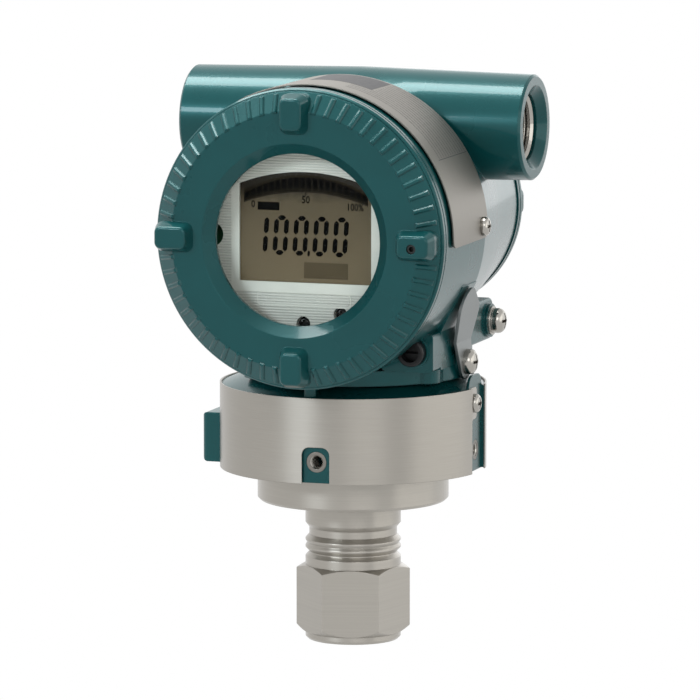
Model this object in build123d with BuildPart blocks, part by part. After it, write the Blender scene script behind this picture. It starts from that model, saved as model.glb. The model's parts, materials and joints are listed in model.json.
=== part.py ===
from build123d import *
import math
import os

os.makedirs("parts", exist_ok=True)

# Frame: origin at the mouth of the process connection, +Z up along the pressure axis.
# The window looks towards -Y and the conduit entries open to +X and -X. Sizes in mm.

# Fits and clearances
cover_gap = 0.4
thread_clearance = 0.3
running_clearance = 0.05
seat_gap = 0.1

# Process connector: ring, hexagon and ridged neck
pipe_bore_d = 19.0
pipe_bore_depth = 17.0
passage_d = 4.0
ring_d = 29.5
ring_h = 2.3
ring_chamfer = 0.8
hex_across_flats = 30.4
hex_h = 20.9
hex_turn = 15.1
hex_top_cone = 29.0
hex_bottom_cone = 36.0
ridge_d = 29.5
groove_d = 27.1
ridge_h = 1.3
ridge_flank = 1.3
ridged_neck_h = 9.5
shallow_groove_d = 28.4

# Process body: neck, collar and disc
neck_h = 2.2
collar_h = 7.3
collar_cone_h = 1.5
disc_d = 59.0
disc_visible_h = 10.6
disc_chamfer = 0.8
disc_inside_h = 8.0
diaphragm_d = 36.0
diaphragm_t = 0.3
cavity_depth = 1.0

# Sensor inside the casting
sensor_d = 40.0
sensor_h = 6.0
header_d = 16.0
header_h = 2.0
sensor_board_d = 26.0
sensor_board_t = 1.6

# Capsule casting and its band
casting_d = 81.2
casting_bottom_z = 54.2
casting_rim_z = 79.7
dome_edge_d = 67.0
dome_top_z = 82.7
sensor_room_d = 50.0
swivel_bore_d = 40.1
swivel_ledge_z = 73.0
column_face_x = 39.4
column_w = 13.0
column_top_z = 83.9
column_upper_x = 38.6
boss_reach_x = 47.2
boss_w = 13.0
boss_top_z = 69.2
boss_bottom_z = 53.8
boss_radius = 1.8
front_flat_depth = 0.7
band_t = 0.5
band_bottom_z = 53.9
band_top_z = 80.2
notch_gap = 0.4
notch_radius = 1.2
arch_x = 1.6
arch_w = 8.7
arch_top_z = 65.2
insert_z = 60.6
insert_d = 6.4
insert_bore_d = 4.2
insert_l = 8.0
band_tab_w = 6.6
band_tab_bottom_z = 70.4
band_bend_gap = 0.2
band_screw_z = 75.4
stop_lug_x = -1.0
stop_lug_w = 3.9
stop_lug_in = 34.6
stop_lug_out = 39.4
stop_lug_top_z = 82.8

# Amplifier housing
drum_z = 129.65
drum_d = 90.0
drum_front_y = -46.6
cone_start_y = -8.0
drum_rear_d = 68.8
drum_rear_y = 59.7
drum_edge_chamfer = 0.6
front_chamber_d = 75.0
front_thread_d = 77.2
front_thread_depth = 11.0
partition_front_y = -8.0
partition_t = 4.0
rear_chamber_d = 56.4
rear_thread_d = 58.0
rear_thread_depth = 12.0
conduit_y = 10.6
conduit_z = 159.3
conduit_reach = 55.0
conduit_end_d = 32.4
conduit_root_d = 34.2
conduit_thread_d = 20.6
conduit_thread_depth = 22.0
conduit_mouth_d = 25.8
conduit_mouth_depth = 2.6
conduit_throat_d = 15.0
conduit_edge_chamfer = 0.7
flange_d = 72.4
flange_bottom_z = 83.3
flange_t = 4.7
flange_cut_x = -27.0
pedestal_left_x = -25.0
pedestal_right_x = 33.5
pedestal_front_y = -22.0
pedestal_rear_y = 20.0
pedestal_radius = 5.0
wing_tip_x = 42.3
wing_tip_z = 113.6
wing_rear_y = -8.0
zero_block_left_x = 19.0
zero_block_right_x = 35.4
zero_block_front_y = -30.0
zero_block_rear_y = -15.0
zero_block_bottom_z = 87.9
zero_block_top_z = 99.6
zero_block_radius = 1.2
zero_x = 29.2
zero_z = 94.2
zero_rim_d = 10.0
zero_rim_h = 0.8
ear_inner_x = 16.0
ear_face_x = 35.0
ear_front_y = 6.0
ear_rear_y = 32.6
ear_bottom_z = 91.0
ear_top_z = 103.8
ear_corner = 3.0
ear_edge_radius = 0.8
ground_y = 27.8
ground_z = 97.0
ground_pad_d = 10.4
ground_pad_h = 1.0
neck_tube_d = 40.0
neck_tube_bore_d = 28.0
neck_tube_bottom_z = 71.0
snap_groove_z = 71.6
snap_groove_w = 1.2
snap_groove_depth = 1.0
snap_ring_d = 44.0
neck_seal_z = 78.0
neck_seal_w = 2.4
neck_seal_depth = 1.8
cable_way_top_z = 97.0
stop_tooth_w = 3.6
stop_tooth_in = 35.2
stop_tooth_drop = 1.05

# Screw covers
cover_lugs = 4
lug_pitch = 90.0
first_rib = 9.0
rib_pitch = 6.0
ribs_between_lugs = 13
rib_w = 1.5
rib_h = 0.6
rib_root = 0.6
rib_edge = 0.4
rib_start = -0.4
rib_end_gap = 1.8
lug_foot_l = 12.2
lug_foot_w = 9.1
lug_foot_corner = 2.6
lug_face_l = 9.4
lug_face_w = 6.4
lug_face_corner = 1.8
lug_rise = 4.0
lug_set_in = 1.3
lug_foot_sink = 0.15
lug_lean = 1.2
lug_edge_radius = 0.9
rim_edge = 0.5
rim_step_w = 0.9
rim_groove_h = 1.5
rim_groove_w = 0.6
rim_groove_depth = 0.35
front_cover_d = 91.0
front_cover_h = 9.0
front_land_d = 78.0
front_bevel_h = 4.9
front_skirt_l = 9.0
window_d = 52.0
window_cone_d = 58.6
window_cone_h = 3.3
glass_d = 61.0
glass_t = 3.0
gasket_t = 0.4
gasket_in_d = 54.0
lip_t = 1.3
retainer_in_d = 58.4
retainer_t = 1.8
window_bore_d = 62.0
seal_groove_start = 1.4
seal_groove_w = 2.4
seal_groove_depth = 1.9
lock_screw_x = 38.0
lock_screw_y = -0.6
lock_screw_d = 2.8
lock_screw_l = 7.0
lock_screw_sink = 0.5
lock_hole_depth = 8.5
cover_cavity_d = 67.0
rear_cover_d = 69.6
rear_cover_h = 9.4
rear_land_d = 54.6
rear_bevel_h = 5.2
rear_skirt_l = 9.0
rear_cover_wall = 3.6
o_ring_cord = 1.8

# Indicator behind the window
bezel_y = -45.6
bezel_d = 62.0
bezel_t = 4.0
bezel_notch_x = -29.8
bezel_notch_d = 7.4
bezel_plaque_x = -0.4
bezel_plaque_w = 29.2
bezel_plaque_bottom_z = 109.2
bezel_plaque_h = 3.4
bezel_plaque_rise = 0.3
lcd_w = 41.8
lcd_bottom_z = 115.9
lcd_side_top_z = 145.4
lcd_top_z = 149.4
lcd_recess = 0.7
lcd_margin = 2.0
indicator_well_d = 4.4
indicator_well_depth = 2.2
indicator_head_d = 3.8
indicator_head_h = 1.6
indicator_screw_d = 2.0
indicator_screw_l = 7.0
indicator_screw_spots = [(11.2, 106.7), (-0.6, 103.5)]
indicator_board_d = 60.0
indicator_board_t = 1.6

# Electronics pack and terminals
amplifier_clearance = 2.5
amplifier_foot_w = 7.0
amplifier_foot_h = 3.4
amplifier_edge = 2.0
amplifier_screw_l = 6.0
terminal_block_d = 52.0
terminal_block_l = 14.0
terminal_block_top = 12.0
terminal_count = 5
terminal_pitch = 9.0
terminal_screw_z = -3.0
terminal_screw_l = 8.0
terminal_rib_w = 1.2
terminal_rib_h = 3.0
terminal_rib_l = 17.0

# Nameplate over the drum
nameplate_t = 0.5
nameplate_standoff = 0.6
nameplate_front_y = -42.8
nameplate_rear_y = -9.0
nameplate_end_angle = -2.6
nameplate_corner = 2.4
nameplate_screw_y = -13.6
nameplate_screw_angle = 2.0
nameplate_screw_l = 6.0
nameplate_seat_d = 6.0
nameplate_seat_l = 7.0

# Tag plate
tag_face_x = 36.6
tag_t = 1.0
tag_bend_z = 95.0
tag_bend_angle = 18.0
tag_top_z = 114.0
tag_screw_y = -3.1
tag_screw_z = 88.2
tag_screw_l = 8.0
tag_foot_r = 5.4
tag_seat_d = 9.0
tag_rear_y = -5.5
tag_rear_z = 101.5
tag_rear_r = 6.0
tag_tip_y = -14.5
tag_tip_z = 107.3
tag_tip_r = 5.2

# Screw heads
m3_head_d = 5.8
m3_head_h = 2.2
m3_d = 3.0
m4_head_d = 7.8
m4_head_h = 3.4
m4_d = 4.0
screw_slot = 0.9
ground_screw_l = 9.0
washer_d = 9.0
washer_t = 0.6
washer_count = 2

# Zero adjuster
zero_bush_d = 8.4
zero_bush_bore_d = 5.6
zero_bush_out = 3.0
zero_bush_in = 6.0
zero_screw_recess = 3.4
zero_screw_l = 6.0
zero_bush_round = 0.8

# Derived places on the pressure axis
hex_top_z = ring_h + hex_h
connector_top_z = hex_top_z + ridged_neck_h
collar_bottom_z = connector_top_z + neck_h
disc_bottom_z = collar_bottom_z + collar_cone_h + collar_h
casting_cavity_top_z = disc_bottom_z + disc_visible_h + disc_inside_h
hex_corner_d = hex_across_flats / math.cos(math.radians(30))

# Derived places on the drum axis
front_seat_y = drum_front_y - cover_gap
front_lug_top_h = front_cover_h + lug_rise
rear_seat_y = drum_rear_y + cover_gap
partition_rear_y = partition_front_y + partition_t
front_cover_plane = Plane(origin=(0, front_seat_y, drum_z), x_dir=(1, 0, 0), z_dir=(0, -1, 0))
rear_cover_plane = Plane(origin=(0, rear_seat_y, drum_z), x_dir=(-1, 0, 0), z_dir=(0, 1, 0))
drum_axis = Axis((0, 0, drum_z), (0, 1, 0))
conduit_axis = Axis((0, conduit_y, conduit_z), (1, 0, 0))
drum_section = Plane(origin=(0, 0, drum_z), x_dir=(1, 0, 0), z_dir=(0, 0, 1))
casting_r = casting_d / 2
band_end_x = math.sqrt((casting_r + band_t) ** 2 - (column_w / 2) ** 2)
band_screw_y = band_t + band_bend_gap + (m3_head_d - column_w) / 2
drum_r = drum_d / 2
lip_foot_h = front_cover_h - window_cone_h - lip_t
retainer_foot_h = lip_foot_h - gasket_t - glass_t - retainer_t
nameplate_in_r = drum_r + nameplate_standoff
nameplate_out_r = nameplate_in_r + nameplate_t
neck_r = neck_tube_d / 2
ground_seat_x = ear_face_x + ground_pad_h
zero_face_y = zero_block_front_y - zero_rim_h
bezel_rear_y = bezel_y + bezel_t
amplifier_front_y = bezel_rear_y + indicator_board_t
amplifier_l = partition_front_y - amplifier_front_y
amplifier_foot_d = front_chamber_d - 2 * amplifier_clearance
amplifier_d = amplifier_foot_d - 2 * amplifier_foot_w
amplifier_screw_circle_d = amplifier_foot_d - amplifier_foot_w
terminal_face_y = partition_rear_y + terminal_block_l
front_section = Plane(origin=(0, front_seat_y, drum_z), x_dir=(1, 0, 0), z_dir=(0, 0, -1))
rear_section = Plane(origin=(0, rear_seat_y, drum_z), x_dir=(1, 0, 0), z_dir=(0, 0, 1))

# Where the bracket inserts, the electronics pack and the nameplate are fastened
insert_planes = [
    Plane(origin=(arch_x, front_flat_depth - casting_r, insert_z), x_dir=(1, 0, 0), z_dir=(0, -1, 0)),
    Plane(origin=(column_face_x, 0, insert_z), x_dir=(0, 1, 0), z_dir=(1, 0, 0)),
    Plane(origin=(-boss_reach_x, 0, insert_z), x_dir=(0, -1, 0), z_dir=(-1, 0, 0)),
]
amplifier_screw_spots = []
for angle in (90, 210, 330):
    turn = math.radians(angle)
    amplifier_screw_spots.append((amplifier_screw_circle_d / 2 * math.cos(turn),
                                  amplifier_screw_circle_d / 2 * math.sin(turn)))
nameplate_seats = []
for angle in (nameplate_screw_angle, 180 - nameplate_screw_angle):
    across = math.cos(math.radians(angle))
    up = math.sin(math.radians(angle))
    nameplate_seats.append(Plane(origin=(nameplate_in_r * across, nameplate_screw_y,
                                         drum_z + nameplate_in_r * up),
                                 x_dir=(0, 1, 0), z_dir=(across, 0, up)))


def front_plane(y):
    """Plane square to the drum axis, centred on it, looking towards the window side."""
    return Plane(origin=(0, y, drum_z), x_dir=(1, 0, 0), z_dir=(0, -1, 0))


def rear_plane(y):
    """Plane square to the drum axis, centred on it, looking towards the terminal side."""
    return Plane(origin=(0, y, drum_z), x_dir=(-1, 0, 0), z_dir=(0, 1, 0))


def side_plane(x):
    """Plane square to the X axis, through it at x, with Y to the right and Z up."""
    return Plane(origin=(x, 0, 0), x_dir=(0, 1, 0), z_dir=(1, 0, 0))


def turned(points, plane, axis):
    """Solid of revolution from an outline of (radius, height) points."""
    with BuildPart() as body:
        with BuildSketch(plane):
            with BuildLine():
                Polyline(*points, close=True)
            make_face()
        revolve(axis=axis)
    return body.part


def pan_screw(head_d, head_h, shank_d, shank_l):
    """Pan head screw with a cross recess, its head seated on the XY plane, its shank along -Z."""
    head_r = head_d / 2
    side_h = head_h * 0.3
    crown_r = head_r * 0.6
    crown_h = head_h * 0.12
    ball_r = (crown_r ** 2 + crown_h ** 2) / (2 * crown_h)
    half_way_z = head_h - ball_r + math.sqrt(ball_r ** 2 - (crown_r / 2) ** 2)
    with BuildPart() as screw:
        with BuildSketch(Plane.XZ):
            with BuildLine():
                Polyline((0, head_h), (0, -shank_l), (shank_d / 2, -shank_l), (shank_d / 2, 0),
                         (head_r, 0), (head_r, side_h))
                TangentArc((head_r, side_h), (crown_r, head_h - crown_h), tangent=(0, 1))
                ThreePointArc((crown_r, head_h - crown_h), (crown_r / 2, half_way_z), (0, head_h))
            make_face()
        revolve(axis=Axis.Z)
        with BuildSketch(Plane.XY.offset(head_h)):
            Rectangle(head_d * 0.62, screw_slot)
            Rectangle(screw_slot, head_d * 0.62)
        extrude(amount=-head_h * 0.6, mode=Mode.SUBTRACT)
    return screw.part


def cover_outline(outer_d, land_d, height, bevel_h):
    """Outline of a cover above the drum: grooved rim, small step, bevel and flat land."""
    outer_r = outer_d / 2
    land_r = land_d / 2
    shoulder_h = height - bevel_h
    step_rise = rim_step_w * bevel_h / (outer_r - land_r)
    return [(0, 0), (outer_r, 0), (outer_r, rim_groove_h),
            (outer_r - rim_groove_depth, rim_groove_h),
            (outer_r - rim_groove_depth, rim_groove_h + rim_groove_w),
            (outer_r, rim_groove_h + rim_groove_w), (outer_r, shoulder_h - rim_edge),
            (outer_r - rim_edge, shoulder_h), (outer_r - rim_step_w, shoulder_h),
            (outer_r - rim_step_w, shoulder_h + step_rise), (land_r, height), (0, height)]


def cover_rib(outer_d, land_d, height, bevel_h):
    """One grip rib: a bar with chamfered edges and ends that lies along the bevel."""
    run = (outer_d - land_d) / 2
    bar_end = math.hypot(run, bevel_h) - rib_end_gap
    bevel_plane = Plane(origin=(land_d / 2, 0, height), x_dir=(run, 0, -bevel_h), z_dir=(bevel_h, 0, run))
    with BuildPart() as rib:
        with BuildSketch(bevel_plane.offset(-rib_root)):
            with Locations(((rib_start + bar_end) / 2, 0)):
                Rectangle(bar_end - rib_start, rib_w)
        extrude(amount=rib_root + rib_h)
        rib_top = rib.faces().sort_by(Axis(bevel_plane.origin, bevel_plane.z_dir))[-1]
        chamfer(rib_top.edges(), rib_edge)
    return rib.part


def cover_lug(outer_d, height, bevel_h):
    """One wrench lug: a rounded foot across the bevel that tapers above the land."""
    foot_out_r = outer_d / 2 - lug_set_in
    foot_h = height - bevel_h + lug_foot_sink
    with BuildPart() as lug:
        with BuildSketch(Plane.XY.offset(foot_h)):
            with Locations((foot_out_r - lug_foot_l / 2, 0)):
                RectangleRounded(lug_foot_l, lug_foot_w, lug_foot_corner)
        extrude(amount=height - foot_h)
        with BuildSketch(Plane.XY.offset(height)):
            with Locations((foot_out_r - lug_foot_l / 2, 0)):
                RectangleRounded(lug_foot_l, lug_foot_w, lug_foot_corner)
        with BuildSketch(Plane.XY.offset(height + lug_rise)):
            with Locations((foot_out_r - lug_lean - lug_face_l / 2, 0)):
                RectangleRounded(lug_face_l, lug_face_w, lug_face_corner)
        loft()
        fillet(lug.faces().sort_by(Axis.Z)[-1].edges(), lug_edge_radius)
    return lug.part


# Process connector: ridged neck, hexagon and end ring round the female process thread
with BuildPart() as process_connector:
    with BuildSketch(Plane.XY.offset(ring_h)):
        RegularPolygon(radius=hex_across_flats / 2, side_count=6, major_radius=False, rotation=hex_turn)
    extrude(amount=hex_h)
    cone_r = ring_d / 2 + 0.3
    over_r = hex_corner_d / 2 + 1.0
    bottom_rise = (over_r - cone_r) * math.tan(math.radians(hex_bottom_cone))
    top_drop = (over_r - cone_r) * math.tan(math.radians(hex_top_cone))
    with BuildSketch(Plane.XZ):
        with BuildLine():
            Polyline((0, ring_h), (cone_r, ring_h), (over_r, ring_h + bottom_rise),
                     (over_r, hex_top_z - top_drop), (cone_r, hex_top_z), (0, hex_top_z), close=True)
        make_face()
    revolve(axis=Axis.Z, mode=Mode.INTERSECT)
    ridge_r = ridge_d / 2
    groove_r = groove_d / 2
    first_top_z = hex_top_z + 2 * ridge_h
    second_foot_z = first_top_z + ridge_flank + 0.2
    second_top_z = second_foot_z + ridge_flank + 0.5
    third_foot_z = second_top_z + 0.9
    with BuildSketch(Plane.XZ):
        with BuildLine():
            Polyline((0, 0), (ring_d / 2 - ring_chamfer, 0), (ring_d / 2, ring_chamfer),
                     (ring_d / 2, ring_h), (ridge_r, hex_top_z), (ridge_r, first_top_z),
                     (groove_r, first_top_z + ridge_flank), (groove_r, second_foot_z),
                     (ridge_r, second_foot_z + ridge_flank), (ridge_r, second_top_z),
                     (shallow_groove_d / 2, third_foot_z), (ridge_r, third_foot_z + 0.9),
                     (ridge_r, third_foot_z + 1.3), (groove_r, connector_top_z), (0, connector_top_z),
                     close=True)
        make_face()
    revolve(axis=Axis.Z)
    with BuildSketch(Plane.XZ):
        with BuildLine():
            Polyline((0, 0), (pipe_bore_d / 2, 0), (pipe_bore_d / 2, pipe_bore_depth),
                     (passage_d / 2, pipe_bore_depth + 2.5), (passage_d / 2, connector_top_z),
                     (0, connector_top_z), close=True)
        make_face()
    revolve(axis=Axis.Z, mode=Mode.SUBTRACT)
process_connector.part.label = "process_connector"
export_step(process_connector.part, "parts/process_connector.step")

# Process body: neck, collar and disc, with the diaphragm seat on its upper face
with BuildPart() as process_body:
    disc_r = disc_d / 2
    with BuildSketch(Plane.XZ):
        with BuildLine():
            Polyline((passage_d / 2, connector_top_z), (groove_d / 2, connector_top_z),
                     (groove_d / 2, collar_bottom_z),
                     (ridge_d / 2, collar_bottom_z + collar_cone_h),
                     (ridge_d / 2, disc_bottom_z), (disc_r - disc_chamfer, disc_bottom_z),
                     (disc_r, disc_bottom_z + disc_chamfer), (disc_r, casting_cavity_top_z),
                     (diaphragm_d / 2, casting_cavity_top_z),
                     (diaphragm_d / 2, casting_cavity_top_z - cavity_depth),
                     (passage_d / 2, casting_cavity_top_z - cavity_depth - 0.6), close=True)
        make_face()
    revolve(axis=Axis.Z)
process_body.part.label = "process_body"
export_step(process_body.part, "parts/process_body.step")

# Isolating diaphragm: thin disc with rolled waves, seated in the recess of the process body
with BuildPart() as isolating_diaphragm:
    seat_z = casting_cavity_top_z - cavity_depth
    wave_count = 4
    flat_r = 3.0
    rim_r = diaphragm_d / 2 - seat_gap
    wave_l = (rim_r - 2.0 - flat_r) / wave_count
    with BuildSketch(Plane.XZ):
        with BuildLine():
            lower = [(0, seat_z), (flat_r, seat_z)]
            for wave in range(wave_count):
                lower.append((flat_r + (wave + 0.5) * wave_l, seat_z + 0.3))
                lower.append((flat_r + (wave + 1.0) * wave_l, seat_z))
            lower.append((rim_r, seat_z))
            upper = [(r, z + diaphragm_t) for r, z in reversed(lower)]
            Polyline(*lower, *upper, close=True)
        make_face()
    revolve(axis=Axis.Z)
isolating_diaphragm.part.label = "isolating_diaphragm"
export_step(isolating_diaphragm.part, "parts/isolating_diaphragm.step")

# Sensor capsule: welded cell with its pin header, on top of the process body
with BuildPart() as sensor_capsule:
    with BuildSketch(Plane.XZ):
        with BuildLine():
            Polyline((0, casting_cavity_top_z), (sensor_d / 2, casting_cavity_top_z),
                     (sensor_d / 2, casting_cavity_top_z + sensor_h - 1.2),
                     (sensor_d / 2 - 1.2, casting_cavity_top_z + sensor_h),
                     (header_d / 2, casting_cavity_top_z + sensor_h),
                     (header_d / 2, casting_cavity_top_z + sensor_h + header_h),
                     (0, casting_cavity_top_z + sensor_h + header_h), close=True)
        make_face()
    revolve(axis=Axis.Z)
sensor_capsule.part.label = "sensor_capsule"
export_step(sensor_capsule.part, "parts/sensor_capsule.step")

# Sensor board: small disc on the pin header, inside the bore of the neck tube
with BuildPart() as sensor_board:
    with BuildSketch(Plane.XY.offset(casting_cavity_top_z + sensor_h + header_h)):
        Circle(sensor_board_d / 2)
    extrude(amount=sensor_board_t)
sensor_board.part.label = "sensor_board"
export_step(sensor_board.part, "parts/sensor_board.step")

# Capsule casting: cup with a domed top, the swivel bore and the bosses for a bracket
with BuildPart() as capsule_casting:
    with BuildSketch(Plane.XZ):
        with BuildLine():
            Polyline((disc_d / 2 + thread_clearance, casting_bottom_z), (casting_r, casting_bottom_z),
                     (casting_r, casting_rim_z), (dome_edge_d / 2, dome_top_z),
                     (swivel_bore_d / 2, dome_top_z), (swivel_bore_d / 2, swivel_ledge_z),
                     (sensor_room_d / 2, swivel_ledge_z), (sensor_room_d / 2, casting_cavity_top_z),
                     (disc_d / 2 + thread_clearance, casting_cavity_top_z), close=True)
        make_face()
    revolve(axis=Axis.Z)
    # Right column: a flat face with an arched top that stands behind the band's end
    with BuildSketch(side_plane(casting_r - 8.0)):
        with Locations((0, (casting_bottom_z + casting_rim_z) / 2)):
            Rectangle(column_w, casting_rim_z - casting_bottom_z)
    extrude(amount=column_face_x - casting_r + 8.0)
    with BuildSketch(side_plane(column_upper_x)) as column_arch:
        with Locations((0, (casting_rim_z - 2.0 + column_top_z) / 2)):
            Rectangle(column_w, column_top_z - casting_rim_z + 2.0)
        fillet(column_arch.vertices().group_by(Axis.Y)[-1], column_top_z - casting_rim_z)
    extrude(amount=column_face_x - column_upper_x)
    with BuildSketch(side_plane(column_face_x)):
        with Locations((0, (casting_bottom_z + column_top_z) / 2)):
            Rectangle(column_w, column_top_z - casting_bottom_z)
    extrude(amount=casting_r - column_face_x + 1.0, mode=Mode.SUBTRACT)
    # Left boss: a block that stands out through the band
    with BuildSketch(side_plane(-boss_reach_x)):
        with Locations((0, (boss_bottom_z + boss_top_z) / 2)):
            Rectangle(boss_w, boss_top_z - boss_bottom_z)
    extrude(amount=boss_reach_x - casting_r + 8.0)
    fillet(capsule_casting.faces().sort_by(Axis.X)[0].edges(), boss_radius)
    # Flat recess round the front insert
    with BuildSketch(Plane.XZ.offset(casting_r - front_flat_depth)):
        with Locations((arch_x, (casting_bottom_z + arch_top_z) / 2)):
            Rectangle(arch_w + 1.6, arch_top_z - casting_bottom_z + 1.6)
    extrude(amount=front_flat_depth + 1.0, mode=Mode.SUBTRACT)
    # Rotation stop: a short rib on the slope of the dome
    with BuildSketch(Plane.XY.offset(casting_rim_z - 1.0)):
        with Locations((stop_lug_x, -(stop_lug_in + stop_lug_out) / 2)):
            RectangleRounded(stop_lug_w, stop_lug_out - stop_lug_in, stop_lug_w * 0.4)
    extrude(amount=stop_lug_top_z - casting_rim_z + 1.0)
    # Holes for the three bracket inserts
    with Locations(*insert_planes):
        Hole(insert_d / 2, depth=insert_l)
    # Hole for the band screw
    with Locations(side_plane(column_face_x)):
        with Locations((band_screw_y, band_screw_z)):
            Hole(m3_d / 2 + running_clearance, depth=7.0)
capsule_casting.part.label = "capsule_casting"
export_step(capsule_casting.part, "parts/capsule_casting.step")

# Band: strip round the casting, open at the column, with an arch at the front insert
with BuildPart() as capsule_band:
    with BuildSketch(Plane.XY.offset(band_bottom_z)):
        Circle(casting_r + band_t)
        Circle(casting_r, mode=Mode.SUBTRACT)
    extrude(amount=band_top_z - band_bottom_z)
    with BuildSketch(side_plane(0)):
        with Locations((0, (band_bottom_z + band_top_z) / 2)):
            Rectangle(column_w, band_top_z - band_bottom_z + 1.0)
    extrude(amount=casting_r + 2.0, mode=Mode.SUBTRACT)
    with BuildSketch(side_plane(0)) as boss_notch:
        with Locations((0, (band_bottom_z - 1.0 + boss_top_z + notch_gap) / 2)):
            Rectangle(boss_w + 2 * notch_gap, boss_top_z + notch_gap - band_bottom_z + 1.0)
        fillet(boss_notch.vertices().group_by(Axis.Y)[-1], notch_radius)
    extrude(amount=-casting_r - 2.0, mode=Mode.SUBTRACT)
    with BuildSketch(Plane.XZ) as arch_cut:
        with Locations((arch_x, (band_bottom_z - 1.0 + arch_top_z) / 2)):
            Rectangle(arch_w, arch_top_z - band_bottom_z + 1.0)
        fillet(arch_cut.vertices().group_by(Axis.Y)[-1], arch_w * 0.28)
    extrude(amount=casting_r + 2.0, mode=Mode.SUBTRACT)
    # Flat tab that the screw holds on the column
    with BuildSketch(side_plane(column_face_x)) as band_tab:
        with Locations((-column_w / 2 + band_tab_w / 2, (band_tab_bottom_z + band_top_z) / 2)):
            Rectangle(band_tab_w, band_top_z - band_tab_bottom_z)
        fillet(band_tab.vertices().group_by(Axis.X)[-1], 1.6)
        with Locations((band_screw_y, band_screw_z)):
            Circle(m3_d / 2 + seat_gap, mode=Mode.SUBTRACT)
    extrude(amount=band_t)
    # Bend that joins the tab to the end of the strip
    with BuildSketch(Plane.XY.offset(band_tab_bottom_z)):
        with Locations(((column_face_x + band_end_x) / 2, (band_t - column_w) / 2)):
            Rectangle(band_end_x - column_face_x, band_t)
    extrude(amount=band_top_z - band_tab_bottom_z)
capsule_band.part.label = "capsule_band"
export_step(capsule_band.part, "parts/capsule_band.step")

m3_band_screw = pan_screw(m3_head_d, m3_head_h, m3_d, 6.0)
with BuildPart() as band_screw:
    with Locations(side_plane(column_face_x + band_t)):
        with Locations((band_screw_y, band_screw_z)):
            add(m3_band_screw)
band_screw.part.label = "band_screw"
export_step(band_screw.part, "parts/band_screw.step")

# Threaded bushes for the mounting bracket
insert_bush = turned([(insert_bore_d / 2, 0), (insert_d / 2 - running_clearance, 0),
                      (insert_d / 2 - running_clearance, -insert_l), (insert_bore_d / 2, -insert_l)],
                     Plane.XZ, Axis.Z)
with BuildPart() as mounting_inserts:
    with Locations(*insert_planes):
        add(insert_bush)
mounting_inserts.part.label = "mounting_inserts"
export_step(mounting_inserts.part, "parts/mounting_inserts.step")

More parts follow.
